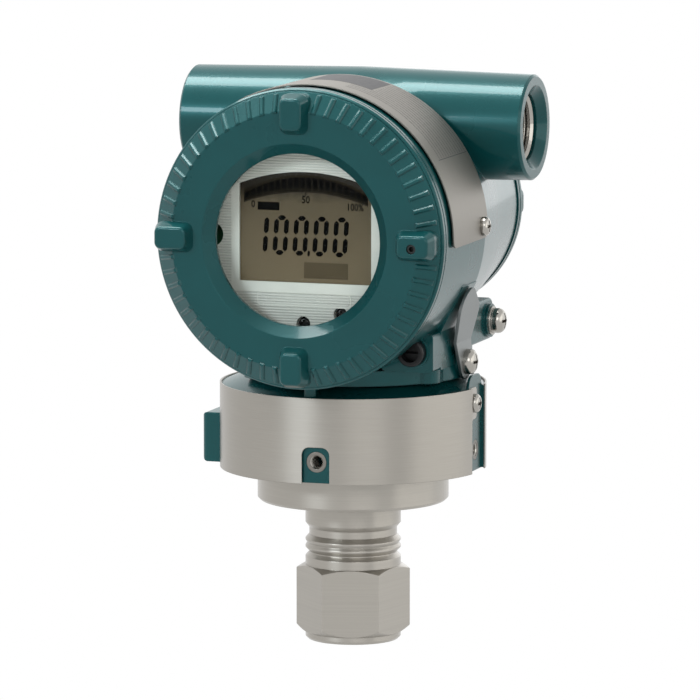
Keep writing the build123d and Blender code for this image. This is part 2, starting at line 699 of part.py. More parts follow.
# Amplifier housing: outer shape first, then its chambers, bores and screw holes
with BuildPart() as amplifier_housing:
    with BuildSketch(drum_section):
        with BuildLine():
            Polyline((0, drum_front_y), (drum_r - drum_edge_chamfer, drum_front_y),
                     (drum_r, drum_front_y + drum_edge_chamfer), (drum_r, cone_start_y),
                     (drum_rear_d / 2, drum_rear_y), (0, drum_rear_y), close=True)
        make_face()
    revolve(axis=drum_axis)
    # Conduit bosses: one tapered bar straight across the drum
    end_r = conduit_end_d / 2
    with BuildSketch(Plane(origin=(0, conduit_y, conduit_z), x_dir=(1, 0, 0), z_dir=(0, -1, 0))):
        with BuildLine():
            Polyline((-conduit_reach, 0), (-conduit_reach, end_r - conduit_edge_chamfer),
                     (-conduit_reach + conduit_edge_chamfer, end_r), (0, conduit_root_d / 2),
                     (conduit_reach - conduit_edge_chamfer, end_r),
                     (conduit_reach, end_r - conduit_edge_chamfer), (conduit_reach, 0), close=True)
        make_face()
    revolve(axis=conduit_axis)
    # Flange over the dome of the casting, cut back on the left
    with BuildSketch(Plane.XY.offset(flange_bottom_z)):
        Circle(flange_d / 2)
        with Locations((flange_cut_x - flange_d / 2, 0)):
            Rectangle(flange_d, flange_d, mode=Mode.SUBTRACT)
    extrude(amount=flange_t)
    # Pedestal between flange and drum
    with BuildSketch(Plane.XY.offset(flange_bottom_z)):
        with Locations(((pedestal_left_x + pedestal_right_x) / 2,
                        (pedestal_front_y + pedestal_rear_y) / 2)):
            RectangleRounded(pedestal_right_x - pedestal_left_x, pedestal_rear_y - pedestal_front_y,
                             pedestal_radius)
    extrude(amount=wing_tip_z - flange_bottom_z)
    # Wing that runs from the zero block up to the side of the drum
    with BuildSketch(Plane.XZ.offset(-wing_rear_y)):
        with BuildLine():
            Polyline((zero_block_left_x, zero_block_bottom_z), (zero_block_right_x, zero_block_bottom_z),
                     (zero_block_right_x, zero_block_top_z), (wing_tip_x, wing_tip_z),
                     (zero_block_left_x, wing_tip_z), close=True)
        make_face()
    extrude(amount=wing_rear_y - pedestal_front_y)
    # Block that carries the zero adjuster, with a raised rim round its hole
    with BuildSketch(Plane.XZ.offset(-zero_block_rear_y)):
        with Locations(((zero_block_left_x + zero_block_right_x) / 2,
                        (zero_block_bottom_z + zero_block_top_z) / 2)):
            RectangleRounded(zero_block_right_x - zero_block_left_x,
                             zero_block_top_z - zero_block_bottom_z, zero_block_radius)
    extrude(amount=zero_block_rear_y - zero_block_front_y)
    with BuildSketch(Plane.XZ.offset(-zero_block_front_y)):
        with Locations((zero_x, zero_z)):
            Circle(zero_rim_d / 2)
    extrude(amount=zero_rim_h)
    # Ear for the outer ground terminal
    with BuildSketch(side_plane(ear_inner_x)):
        with Locations(((ear_front_y + ear_rear_y) / 2, (ear_bottom_z + ear_top_z) / 2)):
            RectangleRounded(ear_rear_y - ear_front_y, ear_top_z - ear_bottom_z, ear_corner)
    extrude(amount=ear_face_x - ear_inner_x)
    fillet(amplifier_housing.faces().filter_by(Axis.X).filter_by_position(
        Axis.X, ear_face_x - seat_gap, ear_face_x + seat_gap).edges(), ear_edge_radius)
    with BuildSketch(side_plane(ear_inner_x)):
        with Locations((ground_y, ground_z)):
            Circle(ground_pad_d / 2)
    extrude(amount=ear_face_x + ground_pad_h - ear_inner_x)
    # Seat of the tag plate
    with BuildSketch(side_plane(ear_inner_x)):
        with Locations((tag_screw_y, tag_screw_z)):
            Circle(tag_seat_d / 2)
    extrude(amount=tag_face_x - ear_inner_x)
    # Neck tube that turns in the casting, grooved for its seal and its snap ring
    with BuildSketch(Plane.XZ):
        with BuildLine():
            Polyline((0, neck_tube_bottom_z), (neck_r, neck_tube_bottom_z),
                     (neck_r, snap_groove_z), (neck_r - snap_groove_depth, snap_groove_z),
                     (neck_r - snap_groove_depth, snap_groove_z + snap_groove_w),
                     (neck_r, snap_groove_z + snap_groove_w), (neck_r, neck_seal_z - neck_seal_w / 2),
                     (neck_r - neck_seal_depth, neck_seal_z - neck_seal_w / 2),
                     (neck_r - neck_seal_depth, neck_seal_z + neck_seal_w / 2),
                     (neck_r, neck_seal_z + neck_seal_w / 2), (neck_r, flange_bottom_z + 1.0),
                     (0, flange_bottom_z + 1.0), close=True)
        make_face()
    revolve(axis=Axis.Z)
    # Stop tooth under the rear of the flange
    with BuildSketch(Plane.XY.offset(flange_bottom_z - stop_tooth_drop)):
        with Locations((0, (stop_tooth_in + flange_d / 2) / 2)):
            Rectangle(stop_tooth_w, flange_d / 2 - stop_tooth_in - seat_gap)
    extrude(amount=stop_tooth_drop + 1.0)
    # Front chamber with its thread
    with BuildSketch(drum_section):
        with BuildLine():
            Polyline((0, drum_front_y), (front_thread_d / 2, drum_front_y),
                     (front_thread_d / 2, drum_front_y + front_thread_depth),
                     (front_chamber_d / 2, drum_front_y + front_thread_depth),
                     (front_chamber_d / 2, partition_front_y), (0, partition_front_y), close=True)
        make_face()
    revolve(axis=drum_axis, mode=Mode.SUBTRACT)
    # Rear chamber with its thread
    with BuildSketch(drum_section):
        with BuildLine():
            Polyline((0, partition_rear_y), (rear_chamber_d / 2, partition_rear_y),
                     (rear_chamber_d / 2, drum_rear_y - rear_thread_depth),
                     (rear_thread_d / 2, drum_rear_y - rear_thread_depth),
                     (rear_thread_d / 2, drum_rear_y), (0, drum_rear_y), close=True)
        make_face()
    revolve(axis=drum_axis, mode=Mode.SUBTRACT)
    # Cable way up the neck into the front chamber
    with BuildSketch(Plane.XY.offset(neck_tube_bottom_z)):
        Circle(neck_tube_bore_d / 2)
    extrude(amount=cable_way_top_z - neck_tube_bottom_z, mode=Mode.SUBTRACT)
    # Conduit entries: wide mouth, thread and a throat that opens into the rear chamber
    for side in (-1, 1):
        with BuildSketch(Plane(origin=(0, conduit_y, conduit_z), x_dir=(side, 0, 0), z_dir=(0, -side, 0))):
            with BuildLine():
                Polyline((conduit_reach, 0), (conduit_reach, conduit_mouth_d / 2),
                         (conduit_reach - conduit_mouth_depth, conduit_thread_d / 2),
                         (conduit_reach - conduit_thread_depth, conduit_thread_d / 2),
                         (conduit_reach - conduit_thread_depth, conduit_throat_d / 2),
                         (0, conduit_throat_d / 2), (0, 0), close=True)
            make_face()
        revolve(axis=conduit_axis, mode=Mode.SUBTRACT)
    # Holes for the zero adjuster, the tag plate screw and the ground screw
    with Locations(Plane(origin=(zero_x, zero_face_y, zero_z), x_dir=(1, 0, 0),
                         z_dir=(0, -1, 0))):
        Hole(zero_bush_d / 2 + running_clearance, depth=zero_rim_h + zero_bush_in)
    with Locations(side_plane(tag_face_x)):
        with Locations((tag_screw_y, tag_screw_z)):
            Hole(m4_d / 2 + running_clearance, depth=tag_screw_l)
    with Locations(side_plane(ground_seat_x)):
        with Locations((ground_y, ground_z)):
            Hole(m4_d / 2 + running_clearance, depth=ground_screw_l)
    # Seats and holes of the nameplate screws
    for seat in nameplate_seats:
        with BuildSketch(seat.offset(-nameplate_seat_l)):
            Circle(nameplate_seat_d / 2)
        extrude(amount=nameplate_seat_l - seat_gap)
        with Locations(seat):
            Hole(m3_d / 2 + running_clearance, depth=nameplate_screw_l)
    # Holes in the partition for the screws of the electronics pack and the terminal block
    with Locations(front_plane(partition_front_y)):
        with Locations(*amplifier_screw_spots):
            Hole(m3_d / 2 + running_clearance, depth=partition_t - 1.0)
amplifier_housing.part.label = "amplifier_housing"
export_step(amplifier_housing.part, "parts/amplifier_housing.step")

# Snap ring that keeps the neck tube in the casting
with BuildPart() as neck_retaining_ring:
    with BuildSketch(Plane.XY.offset(snap_groove_z + running_clearance)):
        Circle(snap_ring_d / 2)
        Circle(neck_r - snap_groove_depth + running_clearance, mode=Mode.SUBTRACT)
    extrude(amount=snap_groove_w - 2 * running_clearance)
neck_retaining_ring.part.label = "neck_retaining_ring"
export_step(neck_retaining_ring.part, "parts/neck_retaining_ring.step")

# Neck seal
with BuildPart() as neck_o_ring:
    with BuildSketch(Plane.XZ):
        with Locations((neck_r - neck_seal_depth + o_ring_cord / 2, neck_seal_z)):
            Circle(o_ring_cord / 2 - running_clearance)
    revolve(axis=Axis.Z)
neck_o_ring.part.label = "neck_o_ring"
export_step(neck_o_ring.part, "parts/neck_o_ring.step")

# Front cover: screw cap with a window cone, grip ribs and four wrench lugs
front_rib = cover_rib(front_cover_d, front_land_d, front_cover_h, front_bevel_h)
front_lug = cover_lug(front_cover_d, front_cover_h, front_bevel_h)
front_outline = cover_outline(front_cover_d, front_land_d, front_cover_h, front_bevel_h)
with BuildPart() as front_cover:
    skirt_r = front_thread_d / 2 - cover_gap
    with BuildSketch(front_section):
        with BuildLine():
            Polyline((0, 0), (skirt_r, 0), (skirt_r, -seal_groove_start),
                     (skirt_r - seal_groove_depth, -seal_groove_start),
                     (skirt_r - seal_groove_depth, -seal_groove_start - seal_groove_w),
                     (skirt_r, -seal_groove_start - seal_groove_w), (skirt_r, -front_skirt_l),
                     (0, -front_skirt_l), close=True)
        make_face()
    revolve(axis=drum_axis)
    with BuildSketch(front_section):
        with BuildLine():
            Polyline(*front_outline, close=True)
        make_face()
    revolve(axis=drum_axis)
    with Locations(front_cover_plane):
        with PolarLocations(0, cover_lugs):
            add(front_lug)
        for lug in range(cover_lugs):
            with PolarLocations(0, ribs_between_lugs, start_angle=lug * lug_pitch + first_rib,
                                angular_range=ribs_between_lugs * rib_pitch):
                add(front_rib)
    # Window cone and lip, seat of the glass and room for the indicator
    with BuildSketch(front_section):
        with BuildLine():
            Polyline((0, -front_skirt_l), (cover_cavity_d / 2, -front_skirt_l),
                     (cover_cavity_d / 2, retainer_foot_h), (window_bore_d / 2, retainer_foot_h),
                     (window_bore_d / 2, lip_foot_h), (window_d / 2, lip_foot_h),
                     (window_d / 2, front_cover_h - window_cone_h), (window_cone_d / 2, front_cover_h),
                     (window_cone_d / 2, front_lug_top_h), (0, front_lug_top_h), close=True)
        make_face()
    revolve(axis=drum_axis, mode=Mode.SUBTRACT)
    with Locations(front_cover_plane.offset(front_lug_top_h)):
        with Locations((lock_screw_x, lock_screw_y)):
            Hole(lock_screw_d / 2 + running_clearance, depth=lock_hole_depth)
front_cover.part.label = "front_cover"
export_step(front_cover.part, "parts/front_cover.step")

# Lock screw in the right-hand lug of the front cover, with a hexagon socket
with BuildPart() as cover_lock_screw:
    with BuildSketch(front_cover_plane.offset(front_lug_top_h - lock_screw_sink)):
        with Locations((lock_screw_x, lock_screw_y)):
            Circle(lock_screw_d / 2)
    extrude(amount=-lock_screw_l)
    with BuildSketch(front_cover_plane.offset(front_lug_top_h - lock_screw_sink)):
        with Locations((lock_screw_x, lock_screw_y)):
            RegularPolygon(radius=lock_screw_d * 0.25, side_count=6, major_radius=False)
    extrude(amount=-lock_screw_l / 3, mode=Mode.SUBTRACT)
cover_lock_screw.part.label = "cover_lock_screw"
export_step(cover_lock_screw.part, "parts/cover_lock_screw.step")

# Seals of the two covers
with BuildPart() as front_cover_o_ring:
    with BuildSketch(front_section):
        with Locations((front_thread_d / 2 - cover_gap - seal_groove_depth / 2,
                        -seal_groove_start - seal_groove_w / 2)):
            Circle(o_ring_cord / 2 - running_clearance)
    revolve(axis=drum_axis)
front_cover_o_ring.part.label = "front_cover_o_ring"
export_step(front_cover_o_ring.part, "parts/front_cover_o_ring.step")

with BuildPart() as rear_cover_o_ring:
    with BuildSketch(rear_section):
        with Locations((rear_thread_d / 2 - cover_gap - seal_groove_depth / 2,
                        -seal_groove_start - seal_groove_w / 2)):
            Circle(o_ring_cord / 2 - running_clearance)
    revolve(axis=drum_axis)
rear_cover_o_ring.part.label = "rear_cover_o_ring"
export_step(rear_cover_o_ring.part, "parts/rear_cover_o_ring.step")

# Window: gasket against the lip, glass, then the threaded retaining ring
with BuildPart() as window_gasket:
    with BuildSketch(front_cover_plane.offset(lip_foot_h)):
        Circle(glass_d / 2)
        Circle(gasket_in_d / 2, mode=Mode.SUBTRACT)
    extrude(amount=-gasket_t)
window_gasket.part.label = "window_gasket"
export_step(window_gasket.part, "parts/window_gasket.step")

with BuildPart() as window_glass:
    with BuildSketch(front_cover_plane.offset(lip_foot_h - gasket_t)):
        Circle(glass_d / 2)
    extrude(amount=-glass_t)
window_glass.part.label = "window_glass"
export_step(window_glass.part, "parts/window_glass.step")

with BuildPart() as window_retainer:
    with BuildSketch(front_cover_plane.offset(retainer_foot_h)):
        Circle(window_bore_d / 2 - running_clearance)
        Circle(retainer_in_d / 2, mode=Mode.SUBTRACT)
        with PolarLocations(retainer_in_d / 2, 2):
            Circle(1.0, mode=Mode.SUBTRACT)
    extrude(amount=retainer_t)
window_retainer.part.label = "window_retainer"
export_step(window_retainer.part, "parts/window_retainer.step")

# Rear cover: blank screw cap with the same ribs and lugs
rear_rib = cover_rib(rear_cover_d, rear_land_d, rear_cover_h, rear_bevel_h)
rear_lug = cover_lug(rear_cover_d, rear_cover_h, rear_bevel_h)
rear_outline = cover_outline(rear_cover_d, rear_land_d, rear_cover_h, rear_bevel_h)
with BuildPart() as rear_cover:
    skirt_r = rear_thread_d / 2 - cover_gap
    with BuildSketch(rear_section):
        with BuildLine():
            Polyline((0, 0), (skirt_r, 0), (skirt_r, -seal_groove_start),
                     (skirt_r - seal_groove_depth, -seal_groove_start),
                     (skirt_r - seal_groove_depth, -seal_groove_start - seal_groove_w),
                     (skirt_r, -seal_groove_start - seal_groove_w), (skirt_r, -rear_skirt_l),
                     (0, -rear_skirt_l), close=True)
        make_face()
    revolve(axis=drum_axis)
    with BuildSketch(rear_section):
        with BuildLine():
            Polyline(*rear_outline, close=True)
        make_face()
    revolve(axis=drum_axis)
    with Locations(rear_cover_plane):
        with PolarLocations(0, cover_lugs):
            add(rear_lug)
        for lug in range(cover_lugs):
            with PolarLocations(0, ribs_between_lugs, start_angle=lug * lug_pitch + first_rib,
                                angular_range=ribs_between_lugs * rib_pitch):
                add(rear_rib)
    with BuildSketch(rear_cover_plane.offset(rear_cover_h - rear_cover_wall)):
        Circle(rear_thread_d / 2 - cover_gap - rear_cover_wall)
    extrude(amount=-rear_skirt_l - rear_cover_h, mode=Mode.SUBTRACT)
rear_cover.part.label = "rear_cover"
export_step(rear_cover.part, "parts/rear_cover.step")


def lcd_outline(margin):
    """Outline of the display opening in the mask plane, its top edge arched."""
    with BuildSketch() as outline:
        with BuildLine():
            half = lcd_w / 2
            Polyline((-half, lcd_side_top_z - drum_z), (-half, lcd_bottom_z - drum_z),
                     (half, lcd_bottom_z - drum_z), (half, lcd_side_top_z - drum_z))
            ThreePointArc((half, lcd_side_top_z - drum_z), (0, lcd_top_z - drum_z),
                          (-half, lcd_side_top_z - drum_z))
        make_face()
        if margin > 0:
            offset(amount=margin, kind=Kind.INTERSECTION)
    return outline.sketch


lcd_opening = lcd_outline(0)
lcd_pocket = lcd_outline(lcd_margin)
lcd_body = lcd_outline(lcd_margin - seat_gap)
indicator_spots = [(x, z - drum_z) for x, z in indicator_screw_spots]

# Indicator mask: disc with the display opening, a raised plaque and two screw wells
with BuildPart() as indicator_bezel:
    with BuildSketch(front_plane(bezel_rear_y)):
        Circle(bezel_d / 2)
        with Locations((bezel_notch_x, 0)):
            Circle(bezel_notch_d / 2, mode=Mode.SUBTRACT)
    extrude(amount=bezel_t)
    with BuildSketch(front_plane(bezel_rear_y)):
        add(lcd_pocket)
    extrude(amount=bezel_t - lcd_recess, mode=Mode.SUBTRACT)
    with BuildSketch(front_plane(bezel_rear_y)):
        add(lcd_opening)
    extrude(amount=bezel_t, mode=Mode.SUBTRACT)
    with BuildSketch(front_plane(bezel_y)):
        with Locations((bezel_plaque_x, bezel_plaque_bottom_z + bezel_plaque_h / 2 - drum_z)):
            RectangleRounded(bezel_plaque_w, bezel_plaque_h, bezel_plaque_h * 0.3)
    extrude(amount=bezel_plaque_rise)
    with Locations(front_plane(bezel_y)):
        with Locations(*indicator_spots):
            CounterBoreHole(indicator_screw_d / 2 + seat_gap, indicator_well_d / 2,
                            indicator_well_depth, depth=bezel_t)
indicator_bezel.part.label = "indicator_bezel"
export_step(indicator_bezel.part, "parts/indicator_bezel.step")

with BuildPart() as lcd_panel:
    with BuildSketch(front_plane(bezel_rear_y)):
        add(lcd_body)
    extrude(amount=bezel_t - lcd_recess)
lcd_panel.part.label = "lcd_panel"
export_step(lcd_panel.part, "parts/lcd_panel.step")

with BuildPart() as indicator_board:
    with BuildSketch(front_plane(amplifier_front_y)):
        Circle(indicator_board_d / 2)
        with Locations(*indicator_spots):
            Circle(indicator_screw_d / 2 + seat_gap, mode=Mode.SUBTRACT)
    extrude(amount=indicator_board_t)
indicator_board.part.label = "indicator_board"
export_step(indicator_board.part, "parts/indicator_board.step")

indicator_screw = pan_screw(indicator_head_d, indicator_head_h, indicator_screw_d, indicator_screw_l)
with BuildPart() as indicator_screws:
    with Locations(front_plane(bezel_y + indicator_well_depth)):
        with Locations(*indicator_spots):
            add(indicator_screw)
indicator_screws.part.label = "indicator_screws"
export_step(indicator_screws.part, "parts/indicator_screws.step")

# Electronics pack: a turned case on a foot flange
amplifier_points = [(0, 0), (amplifier_foot_d / 2, 0), (amplifier_foot_d / 2, amplifier_foot_h),
                    (amplifier_d / 2, amplifier_foot_h), (amplifier_d / 2, amplifier_l - amplifier_edge),
                    (amplifier_d / 2 - amplifier_edge, amplifier_l), (0, amplifier_l)]
with BuildPart() as amplifier_case:
    with BuildSketch(Plane(origin=(0, partition_front_y, drum_z), x_dir=(1, 0, 0), z_dir=(0, 0, -1))):
        with BuildLine():
            Polyline(*amplifier_points, close=True)
        make_face()
    revolve(axis=drum_axis)
    with Locations(front_plane(partition_front_y - amplifier_foot_h)):
        with Locations(*amplifier_screw_spots):
            Hole(m3_d / 2 + seat_gap, depth=amplifier_foot_h)
    with Locations(front_plane(amplifier_front_y)):
        with Locations(*indicator_spots):
            Hole(indicator_screw_d / 2 + running_clearance, depth=indicator_screw_l)
amplifier_case.part.label = "amplifier_case"
export_step(amplifier_case.part, "parts/amplifier_case.step")

amplifier_screw = pan_screw(m3_head_d, m3_head_h, m3_d, amplifier_screw_l)
with BuildPart() as amplifier_screws:
    with Locations(front_plane(partition_front_y - amplifier_foot_h)):
        with Locations(*amplifier_screw_spots):
            add(amplifier_screw)
amplifier_screws.part.label = "amplifier_screws"
export_step(amplifier_screws.part, "parts/amplifier_screws.step")

# Terminal block: moulded D-shaped block with walls between the terminals
with BuildPart() as terminal_block:
    with BuildSketch(rear_plane(partition_rear_y)):
        Circle(terminal_block_d / 2)
        with Locations((0, terminal_block_top + terminal_block_d / 2)):
            Rectangle(terminal_block_d, terminal_block_d, mode=Mode.SUBTRACT)
    extrude(amount=terminal_block_l)
    with BuildSketch(rear_plane(terminal_face_y)):
        with Locations((0, terminal_screw_z)):
            with GridLocations(terminal_pitch, 0, terminal_count - 1, 1):
                Rectangle(terminal_rib_w, terminal_rib_l)
    extrude(amount=terminal_rib_h)
    with Locations(rear_plane(terminal_face_y)):
        with Locations((0, terminal_screw_z)):
            with GridLocations(terminal_pitch, 0, terminal_count, 1):
                Hole(m3_d / 2 + running_clearance, depth=terminal_screw_l + 1.0)
terminal_block.part.label = "terminal_block"
export_step(terminal_block.part, "parts/terminal_block.step")

terminal_screw = pan_screw(m3_head_d, m3_head_h, m3_d, terminal_screw_l)
with BuildPart() as terminal_screws:
    with Locations(rear_plane(terminal_face_y)):
        with Locations((0, terminal_screw_z)):
            with GridLocations(terminal_pitch, 0, terminal_count, 1):
                add(terminal_screw)
terminal_screws.part.label = "terminal_screws"
export_step(terminal_screws.part, "parts/terminal_screws.step")

# Nameplate: strip bent over the drum, its front corners rounded
with BuildPart() as nameplate:
    with BuildSketch(Plane(origin=(0, nameplate_rear_y, drum_z), x_dir=(1, 0, 0), z_dir=(0, -1, 0))):
        with BuildLine():
            sweep_angle = 180 - 2 * nameplate_end_angle
            outer = CenterArc((0, 0), nameplate_out_r, nameplate_end_angle, sweep_angle)
            inner = CenterArc((0, 0), nameplate_in_r, nameplate_end_angle, sweep_angle)
            Line(outer @ 0, inner @ 0)
            Line(outer @ 1, inner @ 1)
        make_face()
    extrude(amount=nameplate_rear_y - nameplate_front_y)
    corner_edges = nameplate.edges().filter_by(GeomType.LINE)
    corner_edges = corner_edges.filter_by_position(Axis.Z, 0, drum_z).group_by(SortBy.LENGTH)[0]
    fillet(corner_edges, nameplate_corner)
    for seat in nameplate_seats:
        with Locations(seat.offset(nameplate_t)):
            Hole(m3_d / 2 + seat_gap, depth=nameplate_t * 3)
nameplate.part.label = "nameplate"
export_step(nameplate.part, "parts/nameplate.step")

nameplate_screw = pan_screw(m3_head_d, m3_head_h, m3_d, nameplate_screw_l)
with BuildPart() as nameplate_screws:
    for seat in nameplate_seats:
        with Locations(seat.offset(nameplate_t)):
            add(nameplate_screw)
nameplate_screws.part.label = "nameplate_screws"
export_step(nameplate_screws.part, "parts/nameplate_screws.step")

# Zero adjuster: plastic bush pressed into the block, slotted screw inside it
zero_plane = Plane(origin=(zero_x, zero_face_y, zero_z), x_dir=(1, 0, 0), z_dir=(0, -1, 0))
with BuildPart() as zero_adjust_bush:
    with BuildSketch(zero_plane.offset(-zero_bush_in)):
        Circle(zero_bush_d / 2)
        Circle(zero_bush_bore_d / 2, mode=Mode.SUBTRACT)
    extrude(amount=zero_bush_in + zero_bush_out)
    bush_rim = zero_adjust_bush.edges().filter_by(GeomType.CIRCLE).group_by(Axis.Y)[0]
    fillet(bush_rim.sort_by(SortBy.RADIUS)[-1], zero_bush_round)
zero_adjust_bush.part.label = "zero_adjust_bush"
export_step(zero_adjust_bush.part, "parts/zero_adjust_bush.step")

with BuildPart() as zero_adjust_screw:
    with BuildSketch(zero_plane.offset(zero_bush_out - zero_screw_recess)):
        Circle(zero_bush_bore_d / 2 - running_clearance)
    extrude(amount=-zero_screw_l)
    with BuildSketch(zero_plane.offset(zero_bush_out - zero_screw_recess)):
        Rectangle(zero_bush_bore_d, screw_slot)
    extrude(amount=-1.4, mode=Mode.SUBTRACT)
zero_adjust_screw.part.label = "zero_adjust_screw"
export_step(zero_adjust_screw.part, "parts/zero_adjust_screw.step")

# Tag plate: upright foot under the screw, upper part bent out to clear the drum
with BuildPart() as tag_plate:
    with BuildSketch(side_plane(tag_face_x - 2.0)):
        with Locations((tag_screw_y, tag_screw_z)):
            Circle(tag_foot_r)
        with Locations((tag_rear_y, tag_rear_z)):
            Circle(tag_rear_r)
        with Locations((tag_tip_y, tag_tip_z)):
            Circle(tag_tip_r)
        make_hull()
    extrude(amount=12.0)
    with BuildSketch(Plane.XZ):
        lean = math.tan(math.radians(tag_bend_angle)) * (tag_top_z - tag_bend_z)
        with BuildLine():
            Polyline((tag_face_x, tag_screw_z - 2 * tag_foot_r), (tag_face_x, tag_bend_z),
                     (tag_face_x + lean, tag_top_z), (tag_face_x + tag_t + lean, tag_top_z),
                     (tag_face_x + tag_t, tag_bend_z), (tag_face_x + tag_t, tag_screw_z - 2 * tag_foot_r),
                     close=True)
        make_face()
    extrude(amount=30.0, both=True, mode=Mode.INTERSECT)
    with Locations(side_plane(tag_face_x + tag_t)):
        with Locations((tag_screw_y, tag_screw_z)):
            Hole(m4_d / 2 + seat_gap, depth=2 * tag_t)
tag_plate.part.label = "tag_plate"
export_step(tag_plate.part, "parts/tag_plate.step")

tag_screw = pan_screw(m4_head_d, m4_head_h, m4_d, tag_screw_l)
with BuildPart() as tag_plate_screw:
    with Locations(side_plane(tag_face_x + tag_t)):
        with Locations((tag_screw_y, tag_screw_z)):
            add(tag_screw)
tag_plate_screw.part.label = "tag_plate_screw"
export_step(tag_plate_screw.part, "parts/tag_plate_screw.step")

# Outer ground terminal: two washers and a screw on the pad of the ear
with BuildPart() as ground_washers:
    for washer in range(washer_count):
        with BuildSketch(side_plane(ground_seat_x + washer * washer_t)):
            with Locations((ground_y, ground_z)):
                Circle(washer_d / 2 - washer * washer_t)
                Circle(m4_d / 2 + seat_gap, mode=Mode.SUBTRACT)
        extrude(amount=washer_t)
ground_washers.part.label = "ground_washers"
export_step(ground_washers.part, "parts/ground_washers.step")

ground_terminal_screw = pan_screw(m4_head_d, m4_head_h, m4_d, ground_screw_l)
with BuildPart() as ground_screw:
    with Locations(side_plane(ground_seat_x + washer_count * washer_t)):
        with Locations((ground_y, ground_z)):
            add(ground_terminal_screw)
ground_screw.part.label = "ground_screw"
export_step(ground_screw.part, "parts/ground_screw.step")
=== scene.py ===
import bpy
import json
import math
from mathutils import Matrix, Vector


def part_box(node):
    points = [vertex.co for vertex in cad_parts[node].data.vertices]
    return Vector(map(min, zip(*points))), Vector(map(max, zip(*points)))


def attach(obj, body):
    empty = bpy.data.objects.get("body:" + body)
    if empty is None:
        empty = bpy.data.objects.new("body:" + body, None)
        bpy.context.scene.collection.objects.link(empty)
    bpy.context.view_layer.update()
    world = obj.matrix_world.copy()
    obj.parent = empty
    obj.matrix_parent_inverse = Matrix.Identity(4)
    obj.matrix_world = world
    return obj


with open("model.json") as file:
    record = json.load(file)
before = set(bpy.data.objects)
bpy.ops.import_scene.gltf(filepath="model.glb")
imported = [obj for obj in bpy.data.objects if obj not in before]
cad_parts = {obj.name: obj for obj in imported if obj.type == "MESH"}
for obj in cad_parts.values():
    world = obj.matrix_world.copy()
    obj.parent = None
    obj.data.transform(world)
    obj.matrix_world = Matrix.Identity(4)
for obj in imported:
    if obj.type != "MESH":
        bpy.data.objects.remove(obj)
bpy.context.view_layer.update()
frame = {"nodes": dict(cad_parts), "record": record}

# Sizes and places on the object are in millimetres. The studio and the camera are in metres
MM = 0.001

# Places taken from the frame
glass_low, glass_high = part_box("window_glass")
DRUM_Z = (glass_low[2] + glass_high[2]) / 2 / MM
LCD_FACE_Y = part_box("lcd_panel")[0][1] / MM
PLATE_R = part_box("nameplate")[1][2] / MM - DRUM_Z
MOUNTS = {mount["name"]: mount for mount in frame["record"]["mounts"]}

# Colours, linear
TEAL = (0.0024, 0.057, 0.059)
TEAL_DEEP = (0.0018, 0.048, 0.050)
STEEL = (0.385, 0.365, 0.330)
NICKEL = (0.38, 0.365, 0.335)
TAG_GREY = (0.245, 0.26, 0.26)
BLACK_OXIDE = (0.035, 0.038, 0.038)
MASK = (0.80, 0.79, 0.74)
LCD_GREY = (0.130, 0.098, 0.059)
INK = (0.0015, 0.0015, 0.0015)
PRINT_GREY = (0.045, 0.045, 0.047)
RUBBER = (0.012, 0.012, 0.012)
BLACK = (0.004, 0.004, 0.005)
BOARD_GREEN = (0.01, 0.08, 0.03)
CASE_GREY = (0.02, 0.02, 0.022)


def shade(tone, factor):
    """A colour made lighter or darker."""
    return tuple(channel * factor for channel in tone)


# Nodes that the materials share

def new_material(name):
    """Material with a plain Principled shader. Returns the material, its tree and the shader."""
    material = bpy.data.materials.new(name)
    material.use_nodes = True
    tree = material.node_tree
    return material, tree, tree.nodes["Principled BSDF"]


def value_node(tree, operation, first, second=0.0):
    """Math node with two inputs, each a socket or a number."""
    node = tree.nodes.new("ShaderNodeMath")
    node.operation = operation
    for socket, source in zip(node.inputs, (first, second)):
        if hasattr(source, "is_output"):
            tree.links.new(source, socket)
        else:
            socket.default_value = source
    return node.outputs[0]


def height_coordinate(tree):
    """Height over the origin, in metres."""
    coords = tree.nodes.new("ShaderNodeTexCoord")
    split = tree.nodes.new("ShaderNodeSeparateXYZ")
    tree.links.new(coords.outputs["Object"], split.inputs["Vector"])
    return split.outputs["Z"]


def noise(tree, scale, detail=3.0, stretch=(1, 1, 1)):
    """Noise factor over the object, with its scale per metre and a stretch along each axis."""
    coords = tree.nodes.new("ShaderNodeTexCoord")
    mapping = tree.nodes.new("ShaderNodeMapping")
    mapping.inputs["Scale"].default_value = stretch
    tree.links.new(coords.outputs["Object"], mapping.inputs["Vector"])
    node = tree.nodes.new("ShaderNodeTexNoise")
    node.inputs["Scale"].default_value = scale
    node.inputs["Detail"].default_value = detail
    tree.links.new(mapping.outputs["Vector"], node.inputs["Vector"])
    return node.outputs["Fac"]


def ramp_colour(tree, factor, low, high, from_low=0.3, from_high=0.7):
    """Colour that runs from low to high as the factor runs between two limits."""
    node = tree.nodes.new("ShaderNodeValToRGB")
    for element, tone, position in zip(node.color_ramp.elements, (low, high), (from_low, from_high)):
        element.position = position
        element.color = (*tone, 1.0)
    tree.links.new(factor, node.inputs["Fac"])
    return node.outputs["Color"]


def spread(tree, factor, low, high, from_low=0.0, from_high=1.0):
    """Number that runs from low to high as the factor runs between two limits."""
    node = tree.nodes.new("ShaderNodeMapRange")
    node.inputs["From Min"].default_value = from_low
    node.inputs["From Max"].default_value = from_high
    node.inputs["To Min"].default_value = low
    node.inputs["To Max"].default_value = high
    tree.links.new(factor, node.inputs["Value"])
    return node.outputs["Result"]


